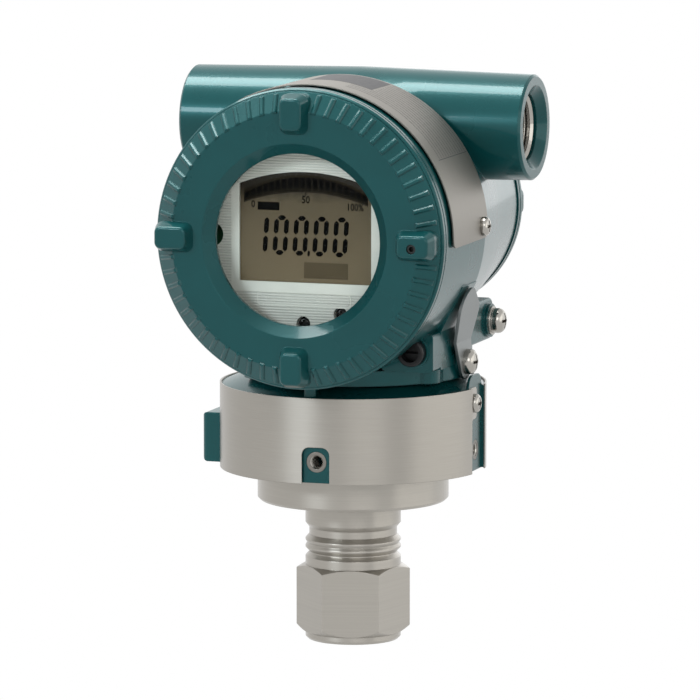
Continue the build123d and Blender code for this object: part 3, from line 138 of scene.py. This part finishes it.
def bump(tree, shader, height, strength, distance, edge_radius=0.0):
    """Bump from a height factor onto a shader, over edges softened by a small radius."""
    node = tree.nodes.new("ShaderNodeBump")
    if edge_radius > 0:
        soft = tree.nodes.new("ShaderNodeBevel")
        soft.samples = 4
        soft.inputs["Radius"].default_value = edge_radius * MM
        tree.links.new(soft.outputs["Normal"], node.inputs["Normal"])
    node.inputs["Strength"].default_value = strength
    node.inputs["Distance"].default_value = distance * MM
    tree.links.new(height, node.inputs["Height"])
    tree.links.new(node.outputs["Normal"], shader.inputs["Normal"])


# Materials

METAL_LINE_SHADE = 0.93
PLASTIC_CLOUD_SHADE = 0.88
PLASTIC_GRAIN_SCALE = 600.0
MASK_RIB_PITCH = 0.84
MASK_GROOVE_PAINTED_SHADE = 0.8
# The display cell's colour runs from painted light at its foot to painted shade at its top
LCD_FOOT_Z = 116.0
LCD_TOP_Z = 146.5
LCD_FOOT_PAINTED_LIGHT = 1.6
LCD_UPPER_PAINTED_SHADE = 0.9
LCD_TOP_PAINTED_SHADE = 0.12


def paint_material():
    """Gloss enamel over a die casting: faint mottling, orange peel and a clear sheen."""
    material, tree, shader = new_material("teal_enamel")
    mottle = noise(tree, scale=45.0, detail=4.0)
    peel = noise(tree, scale=850.0, detail=2.0)
    tree.links.new(ramp_colour(tree, mottle, TEAL_DEEP, TEAL), shader.inputs["Base Color"])
    tree.links.new(spread(tree, mottle, 0.24, 0.32), shader.inputs["Roughness"])
    shader.inputs["Specular IOR Level"].default_value = 0.35
    shader.inputs["Specular Tint"].default_value = (0.30, 0.90, 0.94, 1.0)
    shader.inputs["Coat Weight"].default_value = 0.30
    shader.inputs["Coat Roughness"].default_value = 0.07
    bump(tree, shader, peel, strength=0.10, distance=0.1, edge_radius=0.5)
    return material


def metal_material(name, tone, stretch, roughness, line_strength, upright_smear=0.0):
    """Metal with fine lines along one direction, which may smear what it mirrors along the Z axis."""
    material, tree, shader = new_material(name)
    lines = noise(tree, scale=1.0, detail=5.0, stretch=stretch)
    cloud = noise(tree, scale=30.0)
    line_tone = shade(tone, METAL_LINE_SHADE)
    tree.links.new(ramp_colour(tree, lines, line_tone, tone), shader.inputs["Base Color"])
    shader.inputs["Metallic"].default_value = 1.0
    average = value_node(tree, "MULTIPLY", value_node(tree, "ADD", lines, cloud), 0.5)
    tree.links.new(spread(tree, average, *roughness), shader.inputs["Roughness"])
    bump(tree, shader, lines, line_strength, distance=0.1, edge_radius=0.3)
    if upright_smear > 0:
        tangent = tree.nodes.new("ShaderNodeTangent")
        tangent.direction_type = "RADIAL"
        tangent.axis = "Z"
        tree.links.new(tangent.outputs["Tangent"], shader.inputs["Tangent"])
        shader.inputs["Anisotropic"].default_value = upright_smear
        shader.inputs["Anisotropic Rotation"].default_value = 0.25
    return material


def plastic_material(name, tone, roughness, sheen=0.5):
    """Moulded plastic, rubber, lacquer or print with a fine grain."""
    material, tree, shader = new_material(name)
    shader.inputs["Specular IOR Level"].default_value = sheen
    grain = noise(tree, PLASTIC_GRAIN_SCALE)
    cloud = noise(tree, scale=60.0)
    cloud_tone = shade(tone, PLASTIC_CLOUD_SHADE)
    tree.links.new(ramp_colour(tree, cloud, cloud_tone, tone), shader.inputs["Base Color"])
    tree.links.new(spread(tree, grain, roughness - 0.05, roughness + 0.08), shader.inputs["Roughness"])
    bump(tree, shader, grain, strength=0.08, distance=0.2)
    return material


def mask_material():
    """Pale indicator mask with fine level ribs, and painted shade that darkens the grooves between them."""
    material, tree, shader = new_material("mask_ribbed")
    turns = value_node(tree, "MULTIPLY", height_coordinate(tree), 2 * math.pi / (MASK_RIB_PITCH * MM))
    ribs = spread(tree, value_node(tree, "SINE", turns), 0.0, 1.0, from_low=-1.0)
    cloud = noise(tree, scale=80.0)
    # Painted shade in the grooves between the ribs
    tone = ramp_colour(tree, ribs, shade(MASK, MASK_GROOVE_PAINTED_SHADE), MASK, 0.0, 0.5)
    tree.links.new(tone, shader.inputs["Base Color"])
    tree.links.new(spread(tree, cloud, 0.42, 0.55), shader.inputs["Roughness"])
    bump(tree, shader, ribs, strength=0.6, distance=0.2)
    return material


def glass_material():
    """Clear window: lets light through and keeps a weak reflection."""
    material, tree, shader = new_material("window_clear")
    tree.nodes.remove(shader)
    clear = tree.nodes.new("ShaderNodeBsdfTransparent")
    gloss = tree.nodes.new("ShaderNodeBsdfGlossy")
    fresnel = tree.nodes.new("ShaderNodeFresnel")
    mix = tree.nodes.new("ShaderNodeMixShader")
    dust = noise(tree, scale=90.0, detail=4.0)
    tree.links.new(ramp_colour(tree, dust, (0.96, 0.98, 0.97), (0.99, 1.0, 0.99)), clear.inputs["Color"])
    tree.links.new(spread(tree, dust, 0.01, 0.05), gloss.inputs["Roughness"])
    fresnel.inputs["IOR"].default_value = 1.08
    tree.links.new(fresnel.outputs["Fac"], mix.inputs["Fac"])
    tree.links.new(clear.outputs["BSDF"], mix.inputs[1])
    tree.links.new(gloss.outputs["BSDF"], mix.inputs[2])
    tree.links.new(mix.outputs["Shader"], tree.nodes["Material Output"].inputs["Surface"])
    return material


def display_material():
    """Display cell: grey-brown, with painted light that makes it paler towards its lower edge and painted
    shade that makes it dark under the arch.
    """
    material, tree, shader = new_material("display_cell_painted_light_shade")
    rise = spread(tree, height_coordinate(tree), 0.0, 1.0, LCD_FOOT_Z * MM, LCD_TOP_Z * MM)
    cloud = noise(tree, scale=500.0, detail=2.0)
    mixed = value_node(tree, "ADD", rise, value_node(tree, "MULTIPLY", cloud, 0.12))
    # Painted light towards the foot of the cell and painted shade higher up
    foot_painted_light = shade(LCD_GREY, LCD_FOOT_PAINTED_LIGHT)
    upper_painted_shade = shade(LCD_GREY, LCD_UPPER_PAINTED_SHADE)
    tone = ramp_colour(tree, mixed, foot_painted_light, upper_painted_shade, 0.0, 0.85)
    # Painted shade at the top of the cell, under the arch
    top = tone.node.color_ramp.elements.new(1.0)
    top.color = (*shade(LCD_GREY, LCD_TOP_PAINTED_SHADE), 1.0)
    tree.links.new(tone, shader.inputs["Base Color"])
    shader.inputs["Specular IOR Level"].default_value = 0.2
    tree.links.new(spread(tree, cloud, 0.35, 0.5), shader.inputs["Roughness"])
    return material


paint = paint_material()
mask = mask_material()
glass = glass_material()
display = display_material()
steel_level = metal_material("steel_level_lines", shade(STEEL, 0.92), stretch=(90, 90, 6000),
                             roughness=(0.34, 0.42), line_strength=0.03, upright_smear=0.75)
steel_turned = metal_material("steel_turned", STEEL, stretch=(30, 30, 3200),
                              roughness=(0.26, 0.36), line_strength=0.08, upright_smear=0.75)
steel_plate = metal_material("steel_round_lines", shade(STEEL, 0.66), stretch=(60, 2600, 60),
                             roughness=(0.42, 0.52), line_strength=0.06)
steel_tag = metal_material("steel_tag_plate", TAG_GREY, stretch=(700, 700, 700),
                           roughness=(0.40, 0.50), line_strength=0.04)
# A darker copy of the steel: painted shade on the bracket inserts
steel_insert_painted_shade = metal_material("steel_insert_painted_shade", shade(STEEL, 0.55), stretch=(300, 300, 900),
                              roughness=(0.25, 0.40), line_strength=0.06)
nickel = metal_material("nickel_bright", NICKEL, stretch=(300, 300, 300),
                        roughness=(0.12, 0.24), line_strength=0.05)
oxide = metal_material("steel_black_oxide", BLACK_OXIDE, stretch=(300, 300, 300),
                       roughness=(0.25, 0.40), line_strength=0.05)
ink = plastic_material("display_ink", INK, roughness=0.7, sheen=0.03)
faint_ink = plastic_material("display_faint", shade(LCD_GREY, 0.88), roughness=0.7, sheen=0.1)
# A dark copy of the display colour: painted shade under the arch of the scale
scale_painted_shade = plastic_material("display_scale_painted_shade", shade(LCD_GREY, 0.16), roughness=0.7, sheen=0.05)
# A lighter copy of the mask colour: painted light on the mask's border and plaque
mask_painted_light = plastic_material("mask_border", shade(MASK, 1.18), roughness=0.45)
plate_print = plastic_material("plate_print", PRINT_GREY, roughness=0.55)
seal = plastic_material("seal_rubber", RUBBER, roughness=0.6)
black = plastic_material("black_plastic", BLACK, roughness=0.35, sheen=0.3)
board = plastic_material("board_lacquer", BOARD_GREEN, roughness=0.4)
case = plastic_material("case_plastic", CASE_GREY, roughness=0.5)

finishes = {
    paint: ("amplifier_housing", "front_cover", "rear_cover", "capsule_casting"),
    steel_level: ("capsule_band",),
    steel_turned: ("process_connector", "process_body", "isolating_diaphragm", "sensor_capsule"),
    steel_plate: ("nameplate",),
    steel_tag: ("tag_plate",),
    steel_insert_painted_shade: ("mounting_inserts",),
    nickel: ("band_screw", "neck_retaining_ring", "window_retainer", "amplifier_screws", "terminal_screws",
             "nameplate_screws", "tag_plate_screw", "ground_washers", "ground_screw"),
    oxide: ("cover_lock_screw",),
    seal: ("neck_o_ring", "front_cover_o_ring", "rear_cover_o_ring", "window_gasket"),
    black: ("terminal_block", "zero_adjust_bush", "zero_adjust_screw", "indicator_screws"),
    board: ("sensor_board", "indicator_board"),
    case: ("amplifier_case",),
    mask: ("indicator_bezel",),
    display: ("lcd_panel",),
    glass: ("window_glass",),
}
for finish, node_names in finishes.items():
    for node_name in node_names:
        node_materials = frame["nodes"][node_name].data.materials
        node_materials.clear()
        node_materials.append(finish)


# Pieces that the scene adds

PRINT_THICK = 0.03


def add_piece(name, mesh, material, body):
    """A piece of one material that rides on a body of the frame."""
    mesh.materials.clear()
    mesh.materials.append(material)
    piece = bpy.data.objects.new(name, mesh)
    bpy.context.collection.objects.link(piece)
    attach(piece, body)


def mesh_piece(name, vertices, faces, material, body):
    """A piece from vertices in millimetres and their faces."""
    mesh = bpy.data.meshes.new(name)
    mesh.from_pydata([Vector(vertex) * MM for vertex in vertices], [], faces)
    mesh.validate()
    add_piece(name, mesh, material, body)


def flat_piece(name, outlines, face_y, thickness, material):
    """Flat solids that stand on the plane y = face_y towards the window, from outlines of (x, z)."""
    vertices = []
    faces = []
    for outline in outlines:
        start = len(vertices)
        count = len(outline)
        for depth in (0.0, thickness):
            vertices += [(x, face_y - depth, z) for x, z in outline]
        faces.append([start + count + k for k in range(count)])
        faces.append([start + k for k in reversed(range(count))])
        for k in range(count):
            following = (k + 1) % count
            faces.append([start + k, start + following, start + count + following, start + count + k])
    mesh_piece(name, vertices, faces, material, "housing")


def rectangle(left, right, low, high):
    """Outline of a rectangle."""
    return [(left, low), (right, low), (right, high), (left, high)]


# Digits of the display: a one, four noughts and a decimal point

DIGITS_MID_Z = 130.1
DIGIT_TOP = 5.95
DIGIT_BOTTOM = -6.1
DIGIT_W = 4.7
DIGIT_PITCH = 6.33
DIGIT_SLANT = 0.075
ONE_X = -12.7
FIRST_NOUGHT_X = -7.95
NOUGHT_COUNT = 4
SEGMENT_W = 1.5
SEGMENT_GAP = 0.3
POINT_X = 1.3
POINT_W = 0.75
POINT_DROP = 0.2
POINT_RISE = 1.7


def upright_segment(x, low, high, width=SEGMENT_W):
    """Pointed vertical bar of a digit."""
    half = width / 2
    return [(x - half, low + half), (x, low), (x + half, low + half),
            (x + half, high - half), (x, high), (x - half, high - half)]


def level_segment(left, right, z):
    """Pointed level bar of a digit."""
    half = SEGMENT_W / 2
    return [(left, z), (left + half, z - half), (right - half, z - half),
            (right, z), (right - half, z + half), (left + half, z + half)]


def upright_pair(x, end_gap):
    """Upper and lower vertical bars of a digit, with a gap at its top and bottom."""
    top = DIGIT_TOP - SEGMENT_W / 2
    bottom = DIGIT_BOTTOM + SEGMENT_W / 2
    middle = (top + bottom) / 2
    return [upright_segment(x, middle + SEGMENT_GAP, top - end_gap),
            upright_segment(x, bottom + end_gap, middle - SEGMENT_GAP)]


def nought(x):
    """Outlines of a nought with its four vertical bars and two level bars."""
    reach = (DIGIT_W - SEGMENT_W) / 2
    bars = upright_pair(x - reach, SEGMENT_GAP) + upright_pair(x + reach, SEGMENT_GAP)
    for z in (DIGIT_TOP - SEGMENT_W / 2, DIGIT_BOTTOM + SEGMENT_W / 2):
        bars.append(level_segment(x - reach + SEGMENT_GAP, x + reach - SEGMENT_GAP, z))
    return bars


def slanted(outline):
    """Leans an outline to the right as it rises, and moves it to the height of the digits."""
    return [(x + DIGIT_SLANT * z, z + DIGITS_MID_Z) for x, z in outline]


digit_outlines = upright_pair(ONE_X, 0.0)
for place in range(NOUGHT_COUNT):
    digit_outlines += nought(FIRST_NOUGHT_X + place * DIGIT_PITCH)
point_low = DIGIT_BOTTOM - POINT_DROP
point_high = DIGIT_BOTTOM + POINT_RISE
digit_outlines.append(upright_segment(POINT_X, point_low, point_high, POINT_W))
flat_piece("display_digits", [slanted(outline) for outline in digit_outlines], LCD_FACE_Y, PRINT_THICK,
           ink)


# Scale of the display under its arch: a dark field of painted shade, bars, two base lines and small fields

# The dark field between the two field arches is painted shade at the top of the display
# Each arch is its height in the middle and its height at the ends of the scale
FIELD_TOP_ARCH = (148.4, 143.4)
FIELD_FOOT_ARCH = (143.6, 139.9)
BAR_TOP_ARCH = (147.7, 142.2)
BAR_FOOT_ARCH = (144.4, 140.6)
LINE_ARCH = (143.4, 139.7)
SCALE_HALF_W = 19.7
BAR_COUNT = 20
BAR_INSET = 0.14
LINE_STEPS = 24
LINE_LIFTS = (0.0, 0.5)
LINE_HALF_W = 0.12
MIDDLE_MARK = rectangle(-0.1, 0.1, 142.2, 143.4)
MODE_FIELD = rectangle(-15.3, -8.4, 137.5, 139.95)
UNIT_FIELD = rectangle(-0.6, 13.4, 117.2, 122.1)


def arch_height(x, arch):
    """Height of an arch over x, on the circle through its middle and its ends."""
    middle, end = arch
    rise = middle - end
    radius = (SCALE_HALF_W ** 2 + rise ** 2) / (2 * rise)
    return middle - radius + math.sqrt(radius ** 2 - x ** 2)


def raised(arch, lift):
    """The same arch, higher by a lift."""
    return tuple(height + lift for height in arch)


def arch_cells(count, foot, top, inset=0.0):
    """Outlines side by side along the scale, each between two arches."""
    pitch = 2 * SCALE_HALF_W / count
    cells = []
    for cell in range(count):
        left = -SCALE_HALF_W + cell * pitch + inset
        right = left + pitch - 2 * inset
        cells.append([(left, arch_height(left, foot)), (right, arch_height(right, foot)),
                      (right, arch_height(right, top)), (left, arch_height(left, top))])
    return cells


line_outlines = [MIDDLE_MARK, MODE_FIELD]
for line_lift in LINE_LIFTS:
    line_outlines += arch_cells(LINE_STEPS, raised(LINE_ARCH, line_lift - LINE_HALF_W),
                                raised(LINE_ARCH, line_lift + LINE_HALF_W))
# Dark field of painted shade behind the bars
flat_piece("display_painted_shade_field", arch_cells(BAR_COUNT, FIELD_FOOT_ARCH, FIELD_TOP_ARCH),
           LCD_FACE_Y, PRINT_THICK / 3, scale_painted_shade)
flat_piece("display_bars", arch_cells(BAR_COUNT, BAR_FOOT_ARCH, BAR_TOP_ARCH, BAR_INSET),
           LCD_FACE_Y, PRINT_THICK, ink)
flat_piece("display_scale_line", line_outlines, LCD_FACE_Y, PRINT_THICK, ink)
flat_piece("display_unit_field", [UNIT_FIELD], LCD_FACE_Y, PRINT_THICK / 2, faint_ink)


# Numbers of the scale

# Each number is its piece, its digits, its place in x and z, and its height
SCALE_NUMBERS = (
    ("display_0", "0", -16.75, 139.1, 2.2),
    ("display_50", "50", 0.0, 140.9, 2.3),
    ("display_100", "100%", 15.6, 139.1, 2.2),
)
DIGIT_SHARE_OF_FONT = 0.72
NUMBER_NARROWING = 0.82
NUMBER_BOLDNESS = 0.06


def number_mesh(name, digits, height):
    """Mesh of a plain number, flat round the origin."""
    curve = bpy.data.curves.new(name, "FONT")
    curve.body = digits
    curve.size = height * MM / DIGIT_SHARE_OF_FONT
    curve.extrude = PRINT_THICK * MM / 2
    curve.offset = NUMBER_BOLDNESS * MM
    curve.align_x = "CENTER"
    curve.align_y = "CENTER"
    curve.resolution_u = 2
    text = bpy.data.objects.new(name + "_text", curve)
    bpy.context.collection.objects.link(text)
    bpy.context.view_layer.update()
    mesh = bpy.data.meshes.new_from_object(text)
    bpy.data.objects.remove(text)
    return mesh


for name, digits, x, z, height in SCALE_NUMBERS:
    number = number_mesh(name, digits, height)
    upright = Matrix.Rotation(math.radians(90), 4, "X")
    place = Matrix.Translation(Vector((x, LCD_FACE_Y - PRINT_THICK / 2, z)) * MM)
    number.transform(place @ upright @ Matrix.Diagonal((NUMBER_NARROWING, 1, 1, 1)))
    add_piece(name, number, ink, "housing")


# Smooth parts of the mask: its border round the display, and a raised field with cut corners below, both in
# a lighter copy of the mask colour that is painted light

MASK_FACE_Y = LCD_FACE_Y - 0.7
BORDER_OUT_X = 23.5
BORDER_IN_X = 20.95
BORDER_LOW_Z = 112.8
BORDER_SILL_Z = 115.85
BORDER_TOP_Z = 145.3
PLAQUE_LEFT_X = -15.2
PLAQUE_RIGHT_X = 14.6
PLAQUE_LOW_Z = 108.6
PLAQUE_TOP_Z = 112.6
PLAQUE_CUT = 0.6
PLAQUE_THICK = 0.18


def cut_rectangle(left, right, low, high, cut):
    """Outline of a rectangle with cut corners."""
    return [(left + cut, low), (right - cut, low), (right, low + cut), (right, high - cut),
            (right - cut, high), (left + cut, high), (left, high - cut), (left, low + cut)]


border_outlines = [
    rectangle(-BORDER_OUT_X, BORDER_OUT_X, BORDER_LOW_Z, BORDER_SILL_Z),
    rectangle(-BORDER_OUT_X, -BORDER_IN_X, BORDER_SILL_Z, BORDER_TOP_Z),
    rectangle(BORDER_IN_X, BORDER_OUT_X, BORDER_SILL_Z, BORDER_TOP_Z),
]
plaque_outline = cut_rectangle(PLAQUE_LEFT_X, PLAQUE_RIGHT_X, PLAQUE_LOW_Z, PLAQUE_TOP_Z, PLAQUE_CUT)
flat_piece("mask_border", border_outlines, MASK_FACE_Y, PRINT_THICK, mask_painted_light)
flat_piece("mask_plaque", [plaque_outline], MASK_FACE_Y, PLAQUE_THICK, mask_painted_light)


# Print on the nameplate: a dark field, fine lines round the strip and one line across it

# Each patch is its first and last angle round the drum, in degrees, and its front and rear y
PLATE_FIELD = (70.5, 95.5, -28.5, -10.2)
CROSS_LINE = (30.9, 31.2, -37.5, -10.2)
PLATE_LINE_COUNT = 12
PLATE_LINES_FRONT_Y = -36.0
PLATE_LINES_REAR_Y = -11.0
PLATE_LINE_HALF_W = 0.12
PLATE_LINE_START = CROSS_LINE[1] + 0.4
LINE_END_AT_FIELD = PLATE_FIELD[0] - 1.0
LINE_END_FREE = 78.0
PATCH_STEP = 3.0


def curved_patches(patches):
    """Vertices and faces of thin solids that lie round the nameplate."""
    vertices = []
    faces = []
    for first, last, front_y, rear_y in patches:
        steps = max(1, math.ceil((last - first) / PATCH_STEP))
        start = len(vertices)
        for step in range(steps + 1):
            turn = math.radians(first + (last - first) * step / steps)
            for radius in (PLATE_R, PLATE_R + PRINT_THICK):
                x = radius * math.cos(turn)
                z = DRUM_Z + radius * math.sin(turn)
                vertices += [(x, front_y, z), (x, rear_y, z)]
        for step in range(steps):
            a = start + 4 * step
            b = a + 4
            faces += [[a, b, b + 1, a + 1], [a + 2, a + 3, b + 3, b + 2],
                      [a, a + 2, b + 2, b], [a + 1, b + 1, b + 3, a + 3]]
        end = start + 4 * steps
        faces += [[start, start + 1, start + 3, start + 2], [end, end + 2, end + 3, end + 1]]
    return vertices, faces


plate_patches = [PLATE_FIELD, CROSS_LINE]
line_pitch = (PLATE_LINES_REAR_Y - PLATE_LINES_FRONT_Y) / (PLATE_LINE_COUNT - 1)
for line in range(PLATE_LINE_COUNT):
    line_y = PLATE_LINES_FRONT_Y + line * line_pitch
    line_end = LINE_END_AT_FIELD if line_y > PLATE_FIELD[2] else LINE_END_FREE
    line_front = line_y - PLATE_LINE_HALF_W
    line_rear = line_y + PLATE_LINE_HALF_W
    plate_patches.append((PLATE_LINE_START, line_end, line_front, line_rear))
points, polygons = curved_patches(plate_patches)
mesh_piece("nameplate_print", points, polygons, plate_print, "housing")


# Threads in the conduit entries, the process connection and the bracket inserts

THREAD_SIDES = 48
CREST_START = 0.42
CREST_END = 0.58
PIPE_PITCH = 1.814
PIPE_GAP = 0.03
CONDUIT_TURNS = 10
CONDUIT_START = -9.5
CONDUIT_HEIGHT = 0.95
PROCESS_TURNS = 9
PROCESS_LAND = 0.2
PROCESS_HEIGHT = 0.87
INSERT_PITCH = 0.8
INSERT_GAP = 0.01
INSERT_TURNS = 9
INSERT_START = -3.4
INSERT_HEIGHT = 0.35


def thread_piece(name, mount_name, start, turns, pitch, height, gap, body):
    """Ring-grooved sleeve in the bore of a mount. Start is measured outward from the mount's place."""
    mount = MOUNTS[mount_name]
    origin = Vector(mount["pos_m"]) / MM
    axis = Vector(mount["axis"])
    across = axis.orthogonal().normalized()
    upward = axis.cross(across)
    root_r = mount["dims"]["r_mm"] - gap
    crest_r = root_r - height
    profile = []
    for turn in range(turns):
        place = start + turn * pitch
        profile.append((root_r, place))
        profile.append((crest_r, place + CREST_START * pitch))
        profile.append((crest_r, place + CREST_END * pitch))
    profile.append((root_r, start + turns * pitch))
    vertices = []
    for radius, along in profile:
        for side in range(THREAD_SIDES):
            angle = 2 * math.pi * side / THREAD_SIDES
            spoke = across * math.cos(angle) + upward * math.sin(angle)
            vertices.append(origin + axis * along + spoke * radius)
    faces = []
    for ring in range(len(profile) - 1):
        near = ring * THREAD_SIDES
        far = near + THREAD_SIDES
        for side in range(THREAD_SIDES):
            following = (side + 1) % THREAD_SIDES
            faces.append([near + side, near + following, far + following, far + side])
    mesh_piece(name, vertices, faces, nickel, body)


for label in ("right", "left"):
    thread_piece("conduit_thread_" + label, "conduit_" + label, CONDUIT_START, CONDUIT_TURNS, PIPE_PITCH,
                 CONDUIT_HEIGHT, PIPE_GAP, "housing")
process_start = -PROCESS_LAND - PROCESS_TURNS * PIPE_PITCH
thread_piece("process_thread", "process_connection", process_start, PROCESS_TURNS, PIPE_PITCH,
             PROCESS_HEIGHT, PIPE_GAP, "sensor_unit")
for label in ("front", "right", "left"):
    thread_piece("insert_thread_" + label, "bracket_insert_" + label, INSERT_START, INSERT_TURNS,
                 INSERT_PITCH, INSERT_HEIGHT, INSERT_GAP, "sensor_unit")


# Studio: a pale floor and a room that both show as white background, and soft boxes round the object

FLOOR_SIZE = 6.0
FLOOR_DROP = 0.0005
FLOOR_GREY_LOW = (0.52, 0.52, 0.52)
FLOOR_GREY_HIGH = (0.56, 0.56, 0.56)
ROOM_TINT = (0.80, 0.85, 0.87, 1.0)
ROOM_STRENGTH = 0.16
WHITE = (1.0, 1.0, 1.0, 1.0)
LIGHT_AIM = Vector((0, 0, 0.1))


def show_background(tree, plain, background, surface):
    """Gives the background to rays from the camera, mirroring surfaces and glass, and plain to the rest."""
    rays = tree.nodes.new("ShaderNodeLightPath").outputs
    seen = value_node(tree, "MAXIMUM", rays["Is Glossy Ray"], rays["Is Transmission Ray"])
    seen = value_node(tree, "MAXIMUM", rays["Is Camera Ray"], seen)
    choose = tree.nodes.new("ShaderNodeMixShader")
    tree.links.new(seen, choose.inputs["Fac"])
    tree.links.new(plain, choose.inputs[1])
    tree.links.new(background, choose.inputs[2])
    tree.links.new(choose.outputs["Shader"], surface)


def add_floor():
    """Wide pale floor just under the object."""
    material, tree, shader = new_material("floor_pale")
    shader.inputs["Roughness"].default_value = 0.8
    cloud = noise(tree, scale=3.0, detail=2.0)
    tree.links.new(ramp_colour(tree, cloud, FLOOR_GREY_LOW, FLOOR_GREY_HIGH), shader.inputs["Base Color"])
    white = tree.nodes.new("ShaderNodeEmission")
    white.inputs["Color"].default_value = WHITE
    show_background(tree, shader.outputs["BSDF"], white.outputs["Emission"],
                    tree.nodes["Material Output"].inputs["Surface"])
    bpy.ops.mesh.primitive_plane_add(size=FLOOR_SIZE, location=(0, 0, -FLOOR_DROP))
    floor = bpy.context.object
    floor.name = "floor"
    floor.data.materials.append(material)


def add_room():
    """Dim room that lights the object, behind the white background."""
    world = bpy.data.worlds.new("studio")
    bpy.context.scene.world = world
    world.use_nodes = True
    tree = world.node_tree
    room = tree.nodes["Background"]
    room.inputs["Color"].default_value = ROOM_TINT
    room.inputs["Strength"].default_value = ROOM_STRENGTH
    backdrop = tree.nodes.new("ShaderNodeBackground")
    backdrop.inputs["Color"].default_value = WHITE
    backdrop.inputs["Strength"].default_value = 1.0
    show_background(tree, room.outputs["Background"], backdrop.outputs["Background"],
                    tree.nodes["World Output"].inputs["Surface"])


def soft_box(name, place, size, power, tone):
    """Area light that faces the object."""
    light = bpy.data.lights.new(name, "AREA")
    light.shape = "RECTANGLE"
    light.size, light.size_y = size
    light.energy = power
    light.color = tone
    lamp = bpy.data.objects.new(name, light)
    lamp.location = place
    lamp.rotation_mode = "QUATERNION"
    lamp.rotation_quaternion = (LIGHT_AIM - Vector(place)).to_track_quat("-Z", "Y")
    lamp.visible_camera = False
    bpy.context.collection.objects.link(lamp)


add_floor()
add_room()
soft_box("overhead", place=(-0.36, 0.02, 1.25), size=(0.45, 1.2), power=24.0, tone=(1.0, 1.0, 0.99))
soft_box("rear_wall", place=(0.50, 1.60, 0.35), size=(2.4, 0.9), power=3.8, tone=(0.98, 0.99, 1.0))
soft_box("right_side", place=(1.30, 0.20, 0.30), size=(1.5, 0.8), power=4.6, tone=(1.0, 0.985, 0.95))
soft_box("front_fill", place=(0.75, -1.30, 0.70), size=(0.9, 0.6), power=4.2, tone=(1.0, 1.0, 1.0))
soft_box("left_window", place=(-0.75, -1.38, 0.70), size=(0.7, 0.26), power=9.5, tone=(0.86, 0.94, 1.0))


# Camera at the angle and distance of the photograph. The lens and the sensor are in millimetres

CAMERA_AZIMUTH = math.radians(18.5)
CAMERA_ELEVATION = math.radians(7.71)
CAMERA_DISTANCE = 1.959
CAMERA_AIM_SIDE = -0.00098
CAMERA_AIM_HEIGHT = 0.0897
CAMERA_LENS = 327.1
CAMERA_SENSOR_W = 36.0
CAMERA_REACH = 50.0


def add_camera():
    """Camera that looks at the object, with its view a little to one side."""
    across = Vector((math.cos(CAMERA_AZIMUTH), math.sin(CAMERA_AZIMUTH), 0))
    level_back = Vector((math.sin(CAMERA_AZIMUTH), -math.cos(CAMERA_AZIMUTH), 0))
    back = level_back * math.cos(CAMERA_ELEVATION) + Vector((0, 0, math.sin(CAMERA_ELEVATION)))
    aim = across * CAMERA_AIM_SIDE + Vector((0, 0, CAMERA_AIM_HEIGHT))
    data = bpy.data.cameras.new("camera")
    data.lens = CAMERA_LENS
    data.sensor_width = CAMERA_SENSOR_W
    data.clip_end = CAMERA_REACH
    camera = bpy.data.objects.new("camera", data)
    camera.location = aim + back * CAMERA_DISTANCE
    camera.rotation_mode = "QUATERNION"
    camera.rotation_quaternion = (-back).to_track_quat("-Z", "Y")
    bpy.context.collection.objects.link(camera)
    bpy.context.scene.camera = camera


add_camera()
bpy.context.scene.view_settings.view_transform = "Standard"
